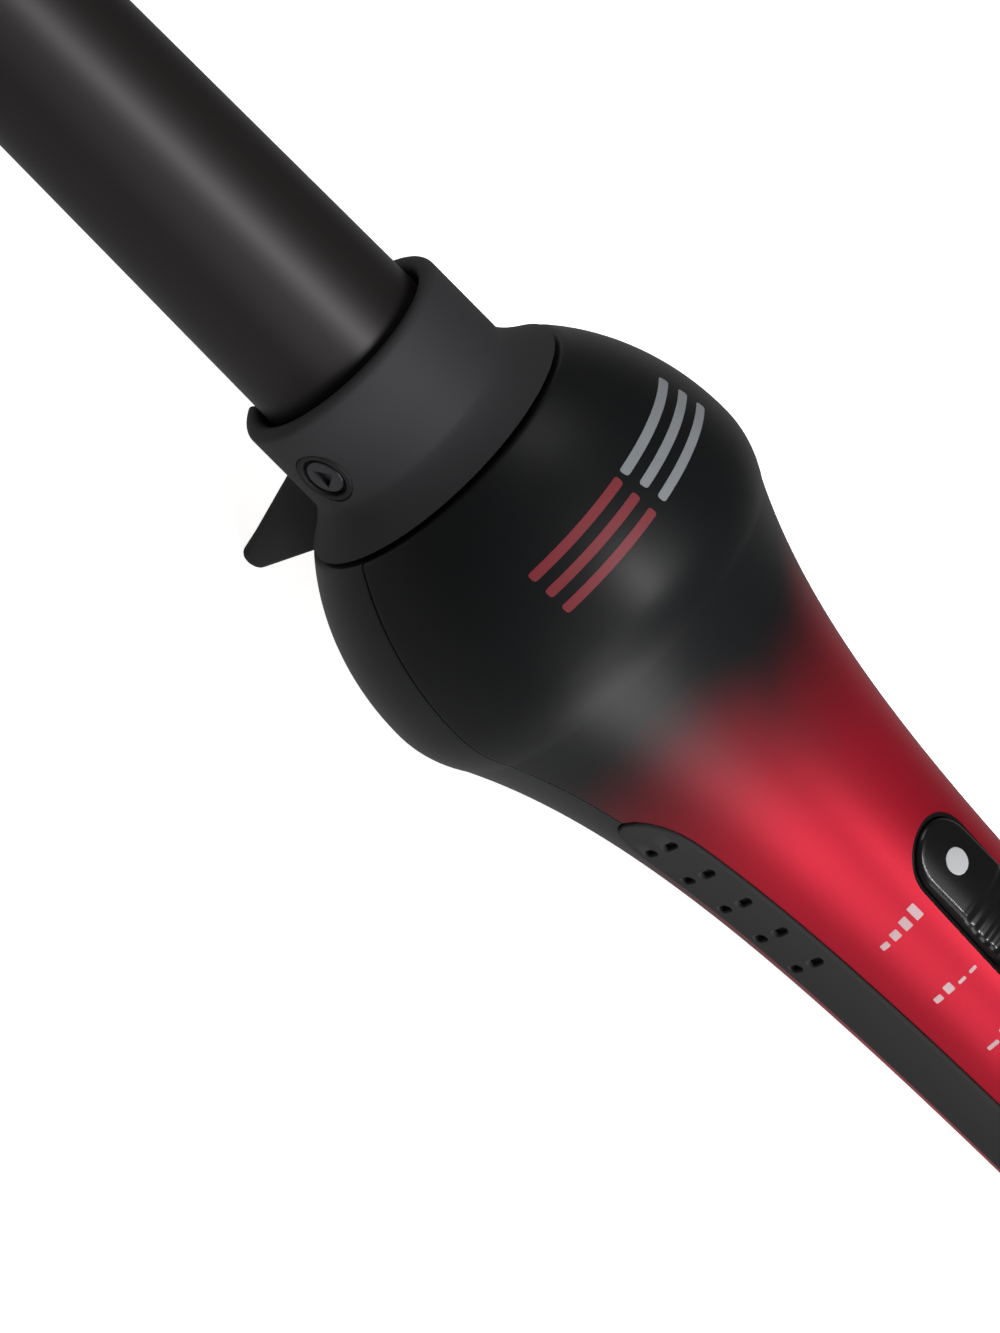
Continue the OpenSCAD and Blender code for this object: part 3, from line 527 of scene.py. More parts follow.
@dataclass(frozen=True)
class BarrelCoating:
    """Dark ceramic coating on metal: satin, fine speckled, polished along the barrel."""

    name: str = "barrel_coating"
    colour: tuple[float, float, float] = (0.070, 0.054, 0.044)
    rough: float = 0.14

    def make(self) -> bpy.types.Material:
        """Returns the material."""
        g = Graph(self.name)
        place = g.iron_place()
        speck = g.noise(place, 5.0, detail=2, rough=0.6)
        polish = g.noise(g.stretched(place, (0.03, 3.0, 3.0)), 1.0, detail=3)
        cloud = g.noise(place, 0.05, detail=2)
        dark = [c * 0.72 for c in self.colour]
        shade = g.mix(speck.ramp(0.35, 0.7) * 0.5 + cloud.ramp(0.3, 0.7) * 0.5, dark, self.colour)
        rough = (polish - 0.5) * 0.10 + (cloud - 0.5) * 0.06 + self.rough
        normal = g.bump(speck, 0.06, 0.00003, over=g.bump(polish, 0.05, 0.00003))
        return g.surface({"Base Color": shade, "Metallic": 0.85, "Roughness": rough,
                          "Coat Weight": 0.08, "Coat Roughness": 0.12, "Normal": normal})


@dataclass(frozen=True)
class FadedLacquer:
    """Satin metallic lacquer, airbrushed from black at the bulb to red at the grip; the red comes in later
    along each shell's middle as painted shade.
    """

    name: str
    black: tuple[float, float, float] = (0.0092, 0.0098, 0.0108)
    red: tuple[float, float, float] = (0.58, 0.0160, 0.039)
    fade_start: float = 54.0
    fade_end: float = 90.0
    edge_delay: float = 3.0
    # painted shade: how far the red is held back along the shell's middle, in millimetres
    painted_shade_delay: float = 5.5
    flake: float = 0.5
    rough: float = 0.42

    def make(self) -> bpy.types.Material:
        """Returns the material."""
        g = Graph(self.name)
        place = g.iron_place()
        x, y, z = g.parts(place)
        mist = g.noise(place, 0.10, detail=3)
        fine = g.noise(place, 6.0, detail=2)
        flakes = g.noise(place, 14.0, detail=1)
        around = y.math("ABSOLUTE") / ((y * y + z * z) ** 0.5)
        # the edge delay is the paint's own later start at the parting lines; the middle delay is painted
        # shade
        paint_and_shade_lag = around.ramp(0.75, 1.0) * self.edge_delay + around.ramp(0.15, 0.6, self.painted_shade_delay, 0.0)
        reach = x - paint_and_shade_lag + (mist - 0.5) * 3.0 + (fine - 0.5) * 1.2
        share = reach.ramp(self.fade_start, self.fade_end)
        glint = flakes.ramp(0.3, 0.7, 0.93, 1.07)
        lively = g.mix(flakes.ramp(0.35, 0.65), [c * 0.92 for c in self.red], [c * 1.06 for c in self.red])
        shade = g.mix(share, self.black, lively)
        rough = (fine - 0.5) * 0.05 + (mist - 0.5) * 0.04 + self.rough
        return g.surface({"Base Color": shade, "Roughness": rough, "Specular IOR Level": 0.24,
                          "Metallic": share * self.flake * glint,
                          "Normal": g.bump(fine, 0.10, 0.00003)})


class Finish(Enum):
    """The finishes of the iron's pieces, under the record's slot names."""

    BARREL = ("barrel_coating", BarrelCoating())
    COLLAR = ("collar_plastic", Plastic("collar_plastic", (0.032, 0.035, 0.041), rough=0.44, specular=0.45))
    BLACK = ("black_plastic", Plastic("black_plastic", (0.012, 0.012, 0.013), rough=0.42))
    TIP = ("black_plastic", Plastic("tip_plastic", (0.016, 0.016, 0.017), rough=0.38, grain_mm=0.5))
    CONTROL = ("shell_paint", FadedLacquer("control_lacquer"))
    # the lever side's copy of the shell lacquer: its darker red is painted shade for the underside; its red
    # also starts later and runs longer
    LEVER = ("shell_paint", FadedLacquer("shaded_lever_lacquer", black=(0.021, 0.022, 0.024),
                                         red=(0.50, 0.016, 0.034), fade_start=64.0, fade_end=128.0))
    GRIP = ("grip_rubber", Plastic("grip_rubber", (0.008, 0.0085, 0.009), rough=0.62, grain_mm=0.22,
                                   grain_depth=0.45, specular=0.12))
    KNOB = ("gloss_black", Plastic("gloss_black", (0.006, 0.006, 0.007), rough=0.22, grain_depth=0.02,
                                   specular=0.5, coat=0.5, coat_rough=0.08, uneven=0.03))
    TRAY = ("tray_plastic", Plastic("tray_plastic", (0.004, 0.004, 0.0045), rough=0.4, grain_depth=0.1))
    DOT = ("dot_grey", Plastic("dot_grey", (0.60, 0.61, 0.63), rough=0.4, grain_mm=0.25, grain_depth=0.2))
    PRINT_PALE = ("dot_grey", Plastic("print_pale", (0.74, 0.50, 0.53), rough=0.45, grain_depth=0.1))
    PRINT_SILVER = ("dot_grey", Plastic("print_silver", (0.36, 0.38, 0.40), rough=0.5, grain_depth=0.1))
    PRINT_RED = ("shell_paint", Plastic("print_red", (0.27, 0.035, 0.045), rough=0.5, grain_depth=0.1))
    DARK_SCREW = ("dark_screw", Metal("dark_screw", (0.11, 0.11, 0.12), rough=0.3))
    SCREW = ("screw_steel", Metal("screw_steel", (0.42, 0.43, 0.45), rough=0.34))
    SPRING = ("spring_steel", Metal("spring_steel", (0.48, 0.49, 0.51), rough=0.3))
    ALUMINIUM = ("bare_aluminium", Metal("bare_aluminium", (0.55, 0.56, 0.58), rough=0.42))
    BRASS = ("brass", Metal("brass", (0.60, 0.42, 0.14), rough=0.3))
    CERAMIC = ("ceramic", Plastic("ceramic", (0.74, 0.71, 0.64), rough=0.6, grain_mm=0.2, grain_depth=0.3))
    PHENOLIC = ("phenolic", Plastic("phenolic", (0.045, 0.032, 0.026), rough=0.5))
    MICA = ("mica", Plastic("mica", (0.48, 0.40, 0.26), rough=0.35, grain_mm=1.2, grain_depth=0.5))
    AMBER = ("amber_bead", Plastic("amber_bead", (0.55, 0.18, 0.04), rough=0.15, grain_depth=0.02))
    SLEEVE = ("lead_sleeve", Plastic("lead_sleeve", (0.75, 0.72, 0.66), rough=0.8, grain_mm=0.3,
                                     grain_depth=0.8))
    BOARD = ("board_green", Plastic("board_green", (0.02, 0.14, 0.05), rough=0.35))
    WHITE = ("white_plastic", Plastic("white_plastic", (0.72, 0.70, 0.66), rough=0.4))

    @property
    def slot(self) -> str:
        """Name of the record's material slot."""
        return self.value[0]

    def material(self) -> bpy.types.Material:
        """Returns the finish's material, made at its first use."""
        maker = self.value[1]
        return bpy.data.materials.get(maker.name) or maker.make()


# --- shape of the body -----------------------------------------------------------------------------


@dataclass(frozen=True)
class BarrelShape:
    """The tapered barrel, in millimetres."""

    radius_at_rim: float = 12.7
    tip_radius: float = 11.2
    length: float = 150.0
    wall: float = 1.0
    inside: float = 4.0

    def radius(self, x: float) -> float:
        """Returns the barrel's radius at a distance behind the rim."""
        return self.radius_at_rim + (self.radius_at_rim - self.tip_radius) * min(x, 0.0) / self.length


@dataclass(frozen=True)
class BodyShape:
    """The handle's outer surface: an elliptic bulb, a shoulder and a long taper, in millimetres."""

    start: float = 19.2
    end: float = 184.0
    seam_x: float = 18.5
    seam_radius: float = 20.6
    bulb_x: float = 42.8
    bulb_radius: float = 29.4
    shoulder_x: float = 51.0
    shoulder_radius: float = 27.0
    grip_radius: float = 14.2
    taper: float = 27.8
    wall: float = 2.2

    def radius(self, x: float) -> float:
        """Returns the body's radius at a distance behind the rim."""
        if x < self.bulb_x:
            return self.ellipse(self.bulb_x - x, self.bulb_x - self.seam_x, self.seam_radius)
        if x < self.shoulder_x:
            return self.ellipse(x - self.bulb_x, self.shoulder_x - self.bulb_x, self.shoulder_radius)
        return self.grip_radius + (self.shoulder_radius - self.grip_radius) * math.exp(
            (self.shoulder_x - x) / self.taper)

    def ellipse(self, away: float, reach: float, reach_radius: float) -> float:
        """Returns the radius of the bulb's ellipse at a distance from its widest place.

        Args:
            away: the distance along the axis.
            reach: distance where the ellipse has a known radius.
            reach_radius: that radius.

        Returns:
            The radius.
        """
        half_length = reach / math.sqrt(1 - (reach_radius / self.bulb_radius) ** 2)
        return self.bulb_radius * math.sqrt(1 - (away / half_length) ** 2)

    def stations(self, low: float, high: float, step: float) -> list[float]:
        """Returns distances along a stretch, with one on the shoulder."""
        places = spread(low, high, max(1, round((high - low) / step)))
        if low < self.shoulder_x < high:
            places.append(self.shoulder_x)
        return sorted(set(places))


BARREL = BarrelShape()
BODY = BodyShape()


def rounded(corners: Sequence[tuple[float, float, float]], segments: int = 5) -> list[Point]:
    """Rounds the corners of a closed outline.

    Args:
        corners: points of (x, radius, rounding).
        segments: faces across each rounding.

    Returns:
        The outline's points.
    """
    out: list[Point] = []
    count = len(corners)
    for i, (x, y, size) in enumerate(corners):
        here = Vector((x, y))
        before = Vector(corners[i - 1][:2]) - here
        after = Vector(corners[(i + 1) % count][:2]) - here
        reach = min(size, before.length * 0.49, after.length * 0.49)
        if reach < 1e-6:
            out.append((x, y))
            continue
        a, b = here + before.normalized() * reach, here + after.normalized() * reach
        for t in spread(0, 1, segments):
            p = a * (1 - t) ** 2 + here * 2 * t * (1 - t) + b * t ** 2
            out.append((p.x, p.y))
    return out


def wrap(bm: bmesh.types.BMesh, radius: Callable[[float], float], angle: float) -> bmesh.types.BMesh:
    """Bends a flat mesh round the axis.

    Args:
        bm: the mesh, with x along the axis, y round it and z out of the surface.
        radius: the surface's radius at a distance along the axis.
        angle: angle of the mesh's middle line, from the controls to the right side, in degrees.

    Returns:
        The same mesh.
    """
    for v in bm.verts:
        x, u, h = v.co
        here = radius(x)
        turn = math.radians(angle) + u / here
        v.co = (x, (here + h) * math.sin(turn), (here + h) * math.cos(turn))
    bmesh.ops.recalc_face_normals(bm, faces=bm.faces)
    return bm


def sideways(side: int, x: float) -> Matrix:
    """Returns the place of a peg that points out of one side at a distance behind the rim."""
    return Matrix.Translation((x, 0, 0)) @ Matrix.Rotation(-side * math.pi / 2, 4, "X")


def rounded_box(x0: float, x1: float, y0: float, y1: float, size: float) -> list[Point]:
    """Returns a rectangle with rounded corners."""
    return rounded([(x0, y0, size), (x1, y0, size), (x1, y1, size), (x0, y1, size)], 4)


def screw_place(x: float, y: float, up: int) -> Matrix:
    """Returns the place of a peg that points up or down from the middle plane."""
    turn = Matrix.Identity(4) if up > 0 else Matrix.Rotation(math.pi, 4, "X")
    return Matrix.Translation((x, y, 0)) @ turn


# --- sub-assemblies --------------------------------------------------------------------------------


@dataclass
class HotBarrel:
    """The coated barrel and the cool tip plugged into it."""

    tip_length: float = 16.0
    tip_round: float = 3.2
    groove: float = 0.5

    def build(self) -> None:
        """Makes both pieces."""
        self.barrel()
        self.tip()

    def barrel(self) -> None:
        """Spins the barrel's tube."""
        far, near = -BARREL.length, BARREL.inside
        thin, thick = BARREL.radius(far), BARREL.radius_at_rim
        profile = rounded([(far, thin, 0.25), (0, thick, 0), (near, thick, 0.2),
                           (near, thick - BARREL.wall, 0.2), (0, thick - BARREL.wall, 0),
                           (far, thin - BARREL.wall, 0.2)], 3)
        obj = finish_piece(plain_object("barrel", lathe(profile, 224)), Finish.BARREL.material())
        declare(obj, "handle", ["barrel_tube"])

    def tip(self) -> None:
        """Spins the tip cap with its plug, a groove at the barrel and a shallow dish in its end."""
        seam, radius = -BARREL.length - 0.05, BARREL.tip_radius
        end, plug = seam - self.tip_length + 0.05, radius - BARREL.wall - 0.05
        profile = rounded([
            (seam - 4, 0, 0), (seam - 4, plug - 1.5, 0.3), (seam + 8, plug - 1.5, 0.2), (seam + 8, plug, 0.4),
            (seam, plug, 0), (seam, radius - 0.35, 0.1), (seam - self.groove, radius - 0.35, 0.1),
            (seam - self.groove, radius, 0.15), (end, radius, self.tip_round * 1.6), (end, 5.2, 0.6),
            (end + 0.7, 4.4, 0.8), (end + 0.7, 0, 0)], 10)
        obj = finish_piece(plain_object("tip", lathe(profile, 160)), Finish.TIP.material())
        declare(obj, "handle", ["tip_cap"])


@dataclass
class CollarRing:
    """The flared collar in front of the bulb, with the clamp's two pivots in its sides."""

    bore: float = 14.6
    radius: float = 16.0
    straight: float = 13.4
    flare_length: float = 5.1
    flare: float = 4.6
    lip: float = 2.6
    lip_back: float = 4.7
    spigot: float = 17.5
    flange: float = 19.4
    flange_start: float = 21.7
    flange_end: float = 23.3
    slot_half: float = 10.4
    slot_start: float = 8.4
    tongue_slot_half: float = 7.42
    lip_slot_half: float = 6.83
    slot_top: float = 9.25
    pivot_x: float = 8.5
    bush_radius: float = 4.0
    screw_radius: float = 3.0
    head_radius: float = 2.65

    def build(self) -> None:
        """Makes the collar, the bushes and the screws."""
        self.collar()
        self.bushes()
        self.screws()

    def collar(self) -> None:
        """Spins the collar and cuts the lever's slot and the bush holes."""
        end = self.straight + self.flare_length
        flare = [(x, self.radius + self.flare * ((x - self.straight) / self.flare_length) ** 1.5)
                 for x in spread(self.straight, end, 14)]
        r = self.lip / 2
        lip = [(r - r * math.cos(a), self.radius - r + r * math.sin(a))
               for a in spread(-math.pi / 2, math.pi / 2, 16)]
        profile = [(self.lip_back, self.bore), (self.lip_back, self.radius - self.lip), *lip,
                   (4, self.radius), *flare, (end, self.spigot), (self.flange_start, self.spigot),
                   (self.flange_start, self.flange), (self.flange_end, self.flange),
                   (self.flange_end, self.bore)]
        obj = plain_object("collar_ring", lathe(profile, 224))
        holes = [peg(self.bush_radius + 0.05, 10, 20, sideways(side, self.pivot_x), 64) for side in (-1, 1)]
        slots = [box((x, -half, -40), (self.flange_end + 1, half, -self.slot_top))
                 for x, half in ((-1, self.lip_slot_half), (self.lip, self.tongue_slot_half),
                                 (self.slot_start, self.slot_half))]
        carve(obj, holes + slots)
        finish_piece(obj, Finish.COLLAR.material(), sharp=40)
        declare(obj, "handle", ["collar"])

    def bushes(self) -> None:
        """Makes the bush rings with a rounded rim and a recess for the screw head."""
        low, high = self.bore - 0.1, self.radius - 0.12
        profile = rounded([(low, 1.55, 0), (high - 0.9, 1.55, 0), (high - 0.9, self.screw_radius + 0.08, 0.1),
                           (high, self.screw_radius + 0.16, 0.18), (high, self.bush_radius, 0.3),
                           (low, self.bush_radius, 0)], 4)
        obj = plain_object("pivot_bush_pair", joined([self.turned(profile, side) for side in (-1, 1)]))
        finish_piece(obj, Finish.BLACK.material())
        declare(obj, "handle", ["pivot_bushes"])

    def screws(self) -> None:
        """Makes the screws, whose heads have a triangular recess."""
        low, top = 11.6, self.radius - 0.28
        profile = rounded([(low, 0, 0), (low, 1.5, 0.3), (top - 0.7, 1.5, 0),
                           (top - 0.7, self.head_radius, 0.1), (top, self.head_radius, 0.5),
                           (top, 0, 0)], 4)
        obj = plain_object("pivot_screw_pair", joined([self.turned(profile, side) for side in (-1, 1)]))
        carve(obj, [peg(1.8, top - 0.65, top + 2, sideways(side, self.pivot_x), 3) for side in (-1, 1)])
        finish_piece(obj, Finish.DARK_SCREW.material())
        declare(obj, "handle", ["pivot_screws"])

    def turned(self, profile: Sequence[Point], side: int) -> bmesh.types.BMesh:
        """Spins a profile of (height, radius) and stands it on one side at the pivot."""
        lay_down = Matrix.Rotation(-math.pi / 2, 4, "Y")
        return moved(lathe(profile, 72), sideways(side, self.pivot_x) @ lay_down)


@dataclass
class Clamp:
    """The clamp blade, its thumb lever and its return spring."""

    length: float = 138.0
    gap: float = 0.3
    thickness: float = 0.9
    wrap_angle: float = 56.0
    joggle_start: float = 1.4
    joggle_end: float = 4.4
    tongue_end: float = 11.5
    tongue_radius: float = 14.05
    lever_half: float = 10.0
    lever_tip: Point = (19.3, -32.3)
    lever_tip_round: float = 1.9
    saddle: float = 15.0
    spring_radius: float = 2.6
    spring_wire: float = 0.8
    spring_turns: int = 5
    spring_z: float = -21.2
    spring_start: float = 17.05
    spring_end: float = 27.78
    opened_share: float = 0.54

    def build(self) -> None:
        """Makes the three pieces."""
        self.blade()
        self.lever()
        self.spring()

    def blade(self) -> None:
        """Bends the blade round the barrel and rounds its edges."""
        tip, root = BARREL.radius(-self.length) + self.gap, BARREL.radius_at_rim + self.gap
        t = self.thickness
        outline = [(-self.length, tip), (-self.length, tip + t), (self.joggle_start, root + t),
                   (self.joggle_end, self.tongue_radius + t), (self.tongue_end, self.tongue_radius + t),
                   (self.tongue_end, self.tongue_radius), (self.joggle_end, self.tongue_radius),
                   (self.joggle_start, root)]
        bm = lathe(outline, 40, start=180 - self.wrap_angle / 2, angle=self.wrap_angle)
        soften(bm, 0.3, 3, least=50)
        obj = finish_piece(plain_object("clamp_blade", bm), Finish.BARREL.material())
        declare(obj, "clamp", ["clamp_plate"])

    def lever(self) -> None:
        """Extrudes the lever's side view, rounds its edges and cuts the saddle, a wider step in it and the
        spring seat.
        """
        cx, cz = self.lever_tip
        r = self.lever_tip_round
        tip = [(cx - r * math.cos(a), cz - r * math.sin(a)) for a in spread(0, math.pi, 14)]
        outline = [(8.7, -12.0), *tip, (21.6, -16.18), (13.5, -12.0)]
        bm = upright(outline, self.lever_half)
        soften(bm, 0.9, 4, least=60)
        obj = plain_object("thumb_lever", bm)
        boss = box((6.5, -7, -17.95), (13.5, 7, -12))
        soften(boss, 0.6, 3)
        carve(obj, [boss], "UNION")
        along_x = Matrix.Rotation(math.pi / 2, 4, "Y")
        seat = slab(pill(-self.spring_z - 3.6, -self.spring_z + 7.4, 7.2), 16.2, 40)
        carve(obj, [peg(self.saddle, -5, 60, along_x, 128), peg(self.saddle + 0.9, 11.8, 60, along_x, 128),
                    moved(seat, along_x)])
        finish_piece(obj, Finish.BLACK.material(), sharp=35)
        declare(obj, "clamp", ["clamp_lever"])

    def spring(self) -> None:
        """Winds the return spring."""
        bm = new_mesh()
        bmesh.ops.create_circle(bm, cap_ends=False, segments=10, radius=self.spring_wire / 2,
                                matrix=Matrix.Translation((self.spring_start, 0, self.spring_radius))
                                @ Matrix.Rotation(math.pi / 2, 4, "X"))
        steps = 28 * self.spring_turns
        bmesh.ops.spin(bm, geom=list(bm.verts) + list(bm.edges), cent=(0, 0, 0), axis=(1, 0, 0),
                       dvec=((self.spring_end - self.spring_start) / steps, 0, 0),
                       angle=2 * math.pi * self.spring_turns, steps=steps, use_duplicate=False)
        bmesh.ops.holes_fill(bm, edges=[e for e in bm.edges if e.is_boundary], sides=0)
        bmesh.ops.recalc_face_normals(bm, faces=bm.faces)
        moved(bm, Matrix.Translation((0, 0, self.spring_z)))
        obj = finish_piece(plain_object("return_spring", bm), Finish.SPRING.material())
        declare(obj, "handle", ["clamp_spring"])
        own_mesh(obj)


@dataclass(frozen=True)
class StripShape:
    """Outline of a side grip: a pointed front, straight edges and a round rear end."""

    start: float = 68.5
    end: float = 180.0
    width: float = 10.0
    nose: float = 9.0

    def outline(self, grow: float = 0.0) -> list[Point]:
        """Returns the outline of (x, distance round the body), grown by a margin."""
        half, front, back = self.width / 2 + grow, self.start - grow, self.end + grow
        nose = [(front + self.nose * t, half * math.sqrt(1 - (1 - t) ** 2.2)) for t in spread(0, 1, 14)]
        rear = [(back - half + half * math.sin(a), half * math.cos(a)) for a in spread(0, math.pi, 20)]
        return nose + rear + [(x, -y) for x, y in nose[:0:-1]]


@dataclass
class Casing:
    """The two body shells, the side grips and the marks printed on the controls' side."""

    strip: StripShape = field(default_factory=StripShape)
    split: float = 0.15
    web_end: float = 21.4
    web_bore: float = 17.55
    web_room: float = 19.7
    screws: tuple[tuple[float, float, float], ...] = ((47, 17, 12), (47, -17, 12), (76, 0, 9), (160, 0, 6.5))
    boss_radius: float = 3.4
    rib_places: tuple[float, ...] = (26.6, 31.1)
    rib_bore: float = 19.0
    pocket_half: float = 10.7
    pocket_end: float = 28.23
    pocket_top: float = -12.8
    pocket_wall: float = 1.6
    strip_depth: float = 1.2
    strip_proud: float = 0.3
    slot_start: float = 74.7
    slot_pitch: float = 6.45
    slot_rows: int = 5
    mark_angle: float = -41.0
    stripe: float = 1.3
    stripe_places: tuple[float, ...] = (31.2, 34.0, 36.8)

    def build(self) -> None:
        """Makes the shells, the grips and the marks."""
        self.control_shell()
        self.lever_shell()
        for side in (-1, 1):
            self.grip(side)
        self.level_marks()
        self.accent_stripes()

    def tube(self) -> list[Point]:
        """Returns the wall's outline with the front web."""
        w = BODY.wall
        front = [(x, BODY.radius(x), 0) for x in BODY.stations(BODY.start, 60, 0.8)]
        back = [(x, BODY.radius(x), 0) for x in BODY.stations(60, BODY.end, 2.0)[1:]]
        inner = [(x, BODY.radius(x) - w, 0) for x in BODY.stations(self.web_end, BODY.end, 3.0)[::-1]]
        front[0] = (*front[0][:2], 0.45)
        back[-1] = (*back[-1][:2], 0.35)
        web = [(self.web_end, self.web_bore, 0), (BODY.start, self.web_bore, 0)]
        return rounded([*front, *back, *inner, *web], 3)

    def half(self, up: int) -> bpy.types.Object:
        """Spins one half of the wall, parts it from the other and rounds the parting edge.

        Args:
            up: 1 for the half with the controls, -1 for the other.

        Returns:
            The half, still in millimetres.
        """
        bm = lathe(self.tube(), 120, start=-90 if up > 0 else 90, angle=180)
        geom = list(bm.verts) + list(bm.edges) + list(bm.faces)
        bmesh.ops.bisect_plane(bm, geom=geom, plane_co=(0, 0, up * self.split), plane_no=(0, 0, up),
                               clear_inner=True, dist=1e-5)
        bmesh.ops.holes_fill(bm, edges=[e for e in bm.edges if e.is_boundary], sides=0)
        bmesh.ops.recalc_face_normals(bm, faces=bm.faces)

        def on_skin(edge: bmesh.types.BMEdge) -> bool:
            """Tells whether an edge is where the skin meets the parting plane."""
            return all(abs(v.co.z - up * self.split) < 1e-3 and abs(v.co.y) > BODY.radius(v.co.x) - 0.3
                       for v in edge.verts)

        soften(bm, 0.42, 3, least=50, want=on_skin)
        return plain_object("half", bm)

    def solid(self, inset: float, low: float, high: float) -> bmesh.types.BMesh:
        """Returns the body's solid shape between two places, a little inside its skin."""
        skin = [(x, BODY.radius(x) - inset) for x in BODY.stations(low, high, 1.5)]
        return lathe([(low, 0), *skin, (high, 0)], 120)

    def pillars(self, up: int) -> bmesh.types.BMesh:
        """Returns the screw pillars of one shell, which end inside its wall."""
        lift = Matrix.Translation((0, 0, up * self.split))
        pegs = [peg(self.boss_radius, 0, 40, lift @ screw_place(x, y, up), 32) for x, y, _ in self.screws]
        obj = plain_object("pillars", joined(pegs))
        carve(obj, [self.solid(BODY.wall / 2, 38, 170)], "INTERSECT")
        return taken(obj)

    def rib(self, place: float) -> bmesh.types.BMesh:
        """Returns a ring that holds the barrel's holder, from a place inside the bulb."""
        end = place + 1.2
        return lathe([(place, self.rib_bore), (place, BODY.radius(place) - 1.1),
                      (end, BODY.radius(end) - 1.1), (end, self.rib_bore)], 120)

    def room(self, side: int) -> bmesh.types.BMesh:
        """Returns the cutter for one side grip's seat, with a small bevel at the skin."""
        bm = stack([(self.strip.outline(0.05), -self.strip_depth - 0.05), (self.strip.outline(0.05), -0.32),
                    (self.strip.outline(0.38), 0.02), (self.strip.outline(0.38), 3.0)])
        slices(bm, 0, spread(70, 178, 54))
        slices(bm, 1, spread(-4.5, 4.5, 9))
        return wrap(bm, BODY.radius, 90 * side)

    def holes(self, up: int) -> list[bmesh.types.BMesh]:
        """Returns cutters for the screws' holes and, on the lever's side, for their heads."""
        low, high = (-1, 8) if up > 0 else (0, 40)
        cuts = [peg(1.55, low, high, screw_place(x, y, up), 32) for x, y, _ in self.screws]
        if up < 0:
            cuts += [peg(2.85, head, 40, screw_place(x, y, up), 48) for x, y, head in self.screws]
        return cuts

    def ribs_in(self, obj: bpy.types.Object, up: int) -> None:
        """Adds a shell's half of the ribs."""
        ribs = plain_object("ribs", joined([self.rib(place) for place in self.rib_places]))
        low, high = (self.split, 60) if up > 0 else (-60, -self.split)
        carve(ribs, [box((0, -60, low), (90, 60, high))], "INTERSECT")
        carve(obj, [taken(ribs)], "UNION")

    def control_shell(self) -> None:
        """Makes the shell with the slider's opening."""
        obj = self.half(1)
        obj.name = "control_side_shell"
        self.ribs_in(obj, 1)
        carve(obj, [self.pillars(1)], "UNION")
        well = pill(SLIDER.tray_start - 0.05, SLIDER.tray_end + 0.05, SLIDER.tray_width + 0.1, 32)
        carve(obj, [self.room(-1), self.room(1), slab(well, 10.4, 40), *self.holes(1)])
        finish_piece(obj, Finish.CONTROL.material(), sharp=36)
        declare(obj, "handle", ["control_shell"])

    def lever_shell(self) -> None:
        """Makes the shell with the lever's pocket and the screws' wells."""
        obj = self.half(-1)
        obj.name = "lever_side_shell"
        self.ribs_in(obj, -1)
        carve(obj, [self.pillars(-1)], "UNION")
        half, back = self.pocket_half + self.pocket_wall, self.pocket_end + self.pocket_wall
        walls = plain_object("walls", box((BODY.start, -half, -60),
                                          (back, half, self.pocket_top + self.pocket_wall)))
        carve(walls, [self.solid(0.2, self.web_end - 0.5, back)], "INTERSECT")
        carve(obj, [taken(walls)], "UNION")
        pocket = box((0, -self.pocket_half, -60), (self.pocket_end, self.pocket_half, self.pocket_top))
        along_x = Matrix.Rotation(math.pi / 2, 4, "Y")
        rooms = [peg(self.web_bore, 0, 22, along_x, 120),
                 peg(self.web_room, self.web_end + 0.01, 23.6, along_x, 120)]
        carve(obj, [pocket, *rooms, self.room(-1), self.room(1), *self.holes(-1)])
        finish_piece(obj, Finish.LEVER.material(), sharp=36)
        declare(obj, "handle", ["lever_shell"])

    def grip(self, side: int) -> None:
        """Makes one side grip: rounded edges, small slots near its front, bent to the body.

        Args:
            side: -1 for the left grip, 1 for the right.
        """
        bm = slab(self.strip.outline(), -self.strip_depth, self.strip_proud)
        soften(bm, 0.4, 4, least=50, want=lambda e: all(v.co.z > 0 for v in e.verts))
        obj = plain_object("grip", bm)
        slots = []
        for row in range(self.slot_rows):
            for up in (-1, 1):
                x, y = self.slot_start + row * self.slot_pitch, up * self.strip.width / 5
                flat = [(x - v, y + u) for u, v in pill(-1.2, 1.2, 1.1, 10)]
                wide = [(x - v, y + u) for u, v in pill(-1.4, 1.4, 1.5, 10)]
                slots.append(stack([(flat, -0.6), (flat, 0.1), (wide, 0.32), (wide, 2)]))
        carve(obj, slots)
        bm = taken(obj)
        slices(bm, 0, spread(70, 178, 54))
        slices(bm, 1, spread(-4.5, 4.5, 9))
        obj = plain_object("grip_left" if side < 0 else "grip_right", wrap(bm, BODY.radius, 90 * side))
        finish_piece(obj, Finish.GRIP.material(), sharp=42)
        declare(obj, "handle", ["grip_strip_left" if side < 0 else "grip_strip_right"])

    def printed(self, name: str, shapes: Sequence[Sequence[Point]], angle: float, finish: Finish) -> None:
        """Lays thin printed shapes on the skin.

        Args:
            name: the piece's name.
            shapes: outlines of (x, distance round the body).
            angle: angle of their middle line from the controls, in degrees.
            finish: the print's finish.
        """
        films = []
        for shape in shapes:
            bm = slab(shape, -0.1, 0.03)
            for axis in (0, 1):
                low, high = min(p[axis] for p in shape), max(p[axis] for p in shape)
                slices(bm, axis, spread(low, high, max(1, round((high - low) / 0.7)))[1:-1])
            films.append(wrap(bm, BODY.radius, angle))
        obj = finish_piece(plain_object(name, joined(films)), finish.material(), sharp=50)
        declare(obj, "handle")

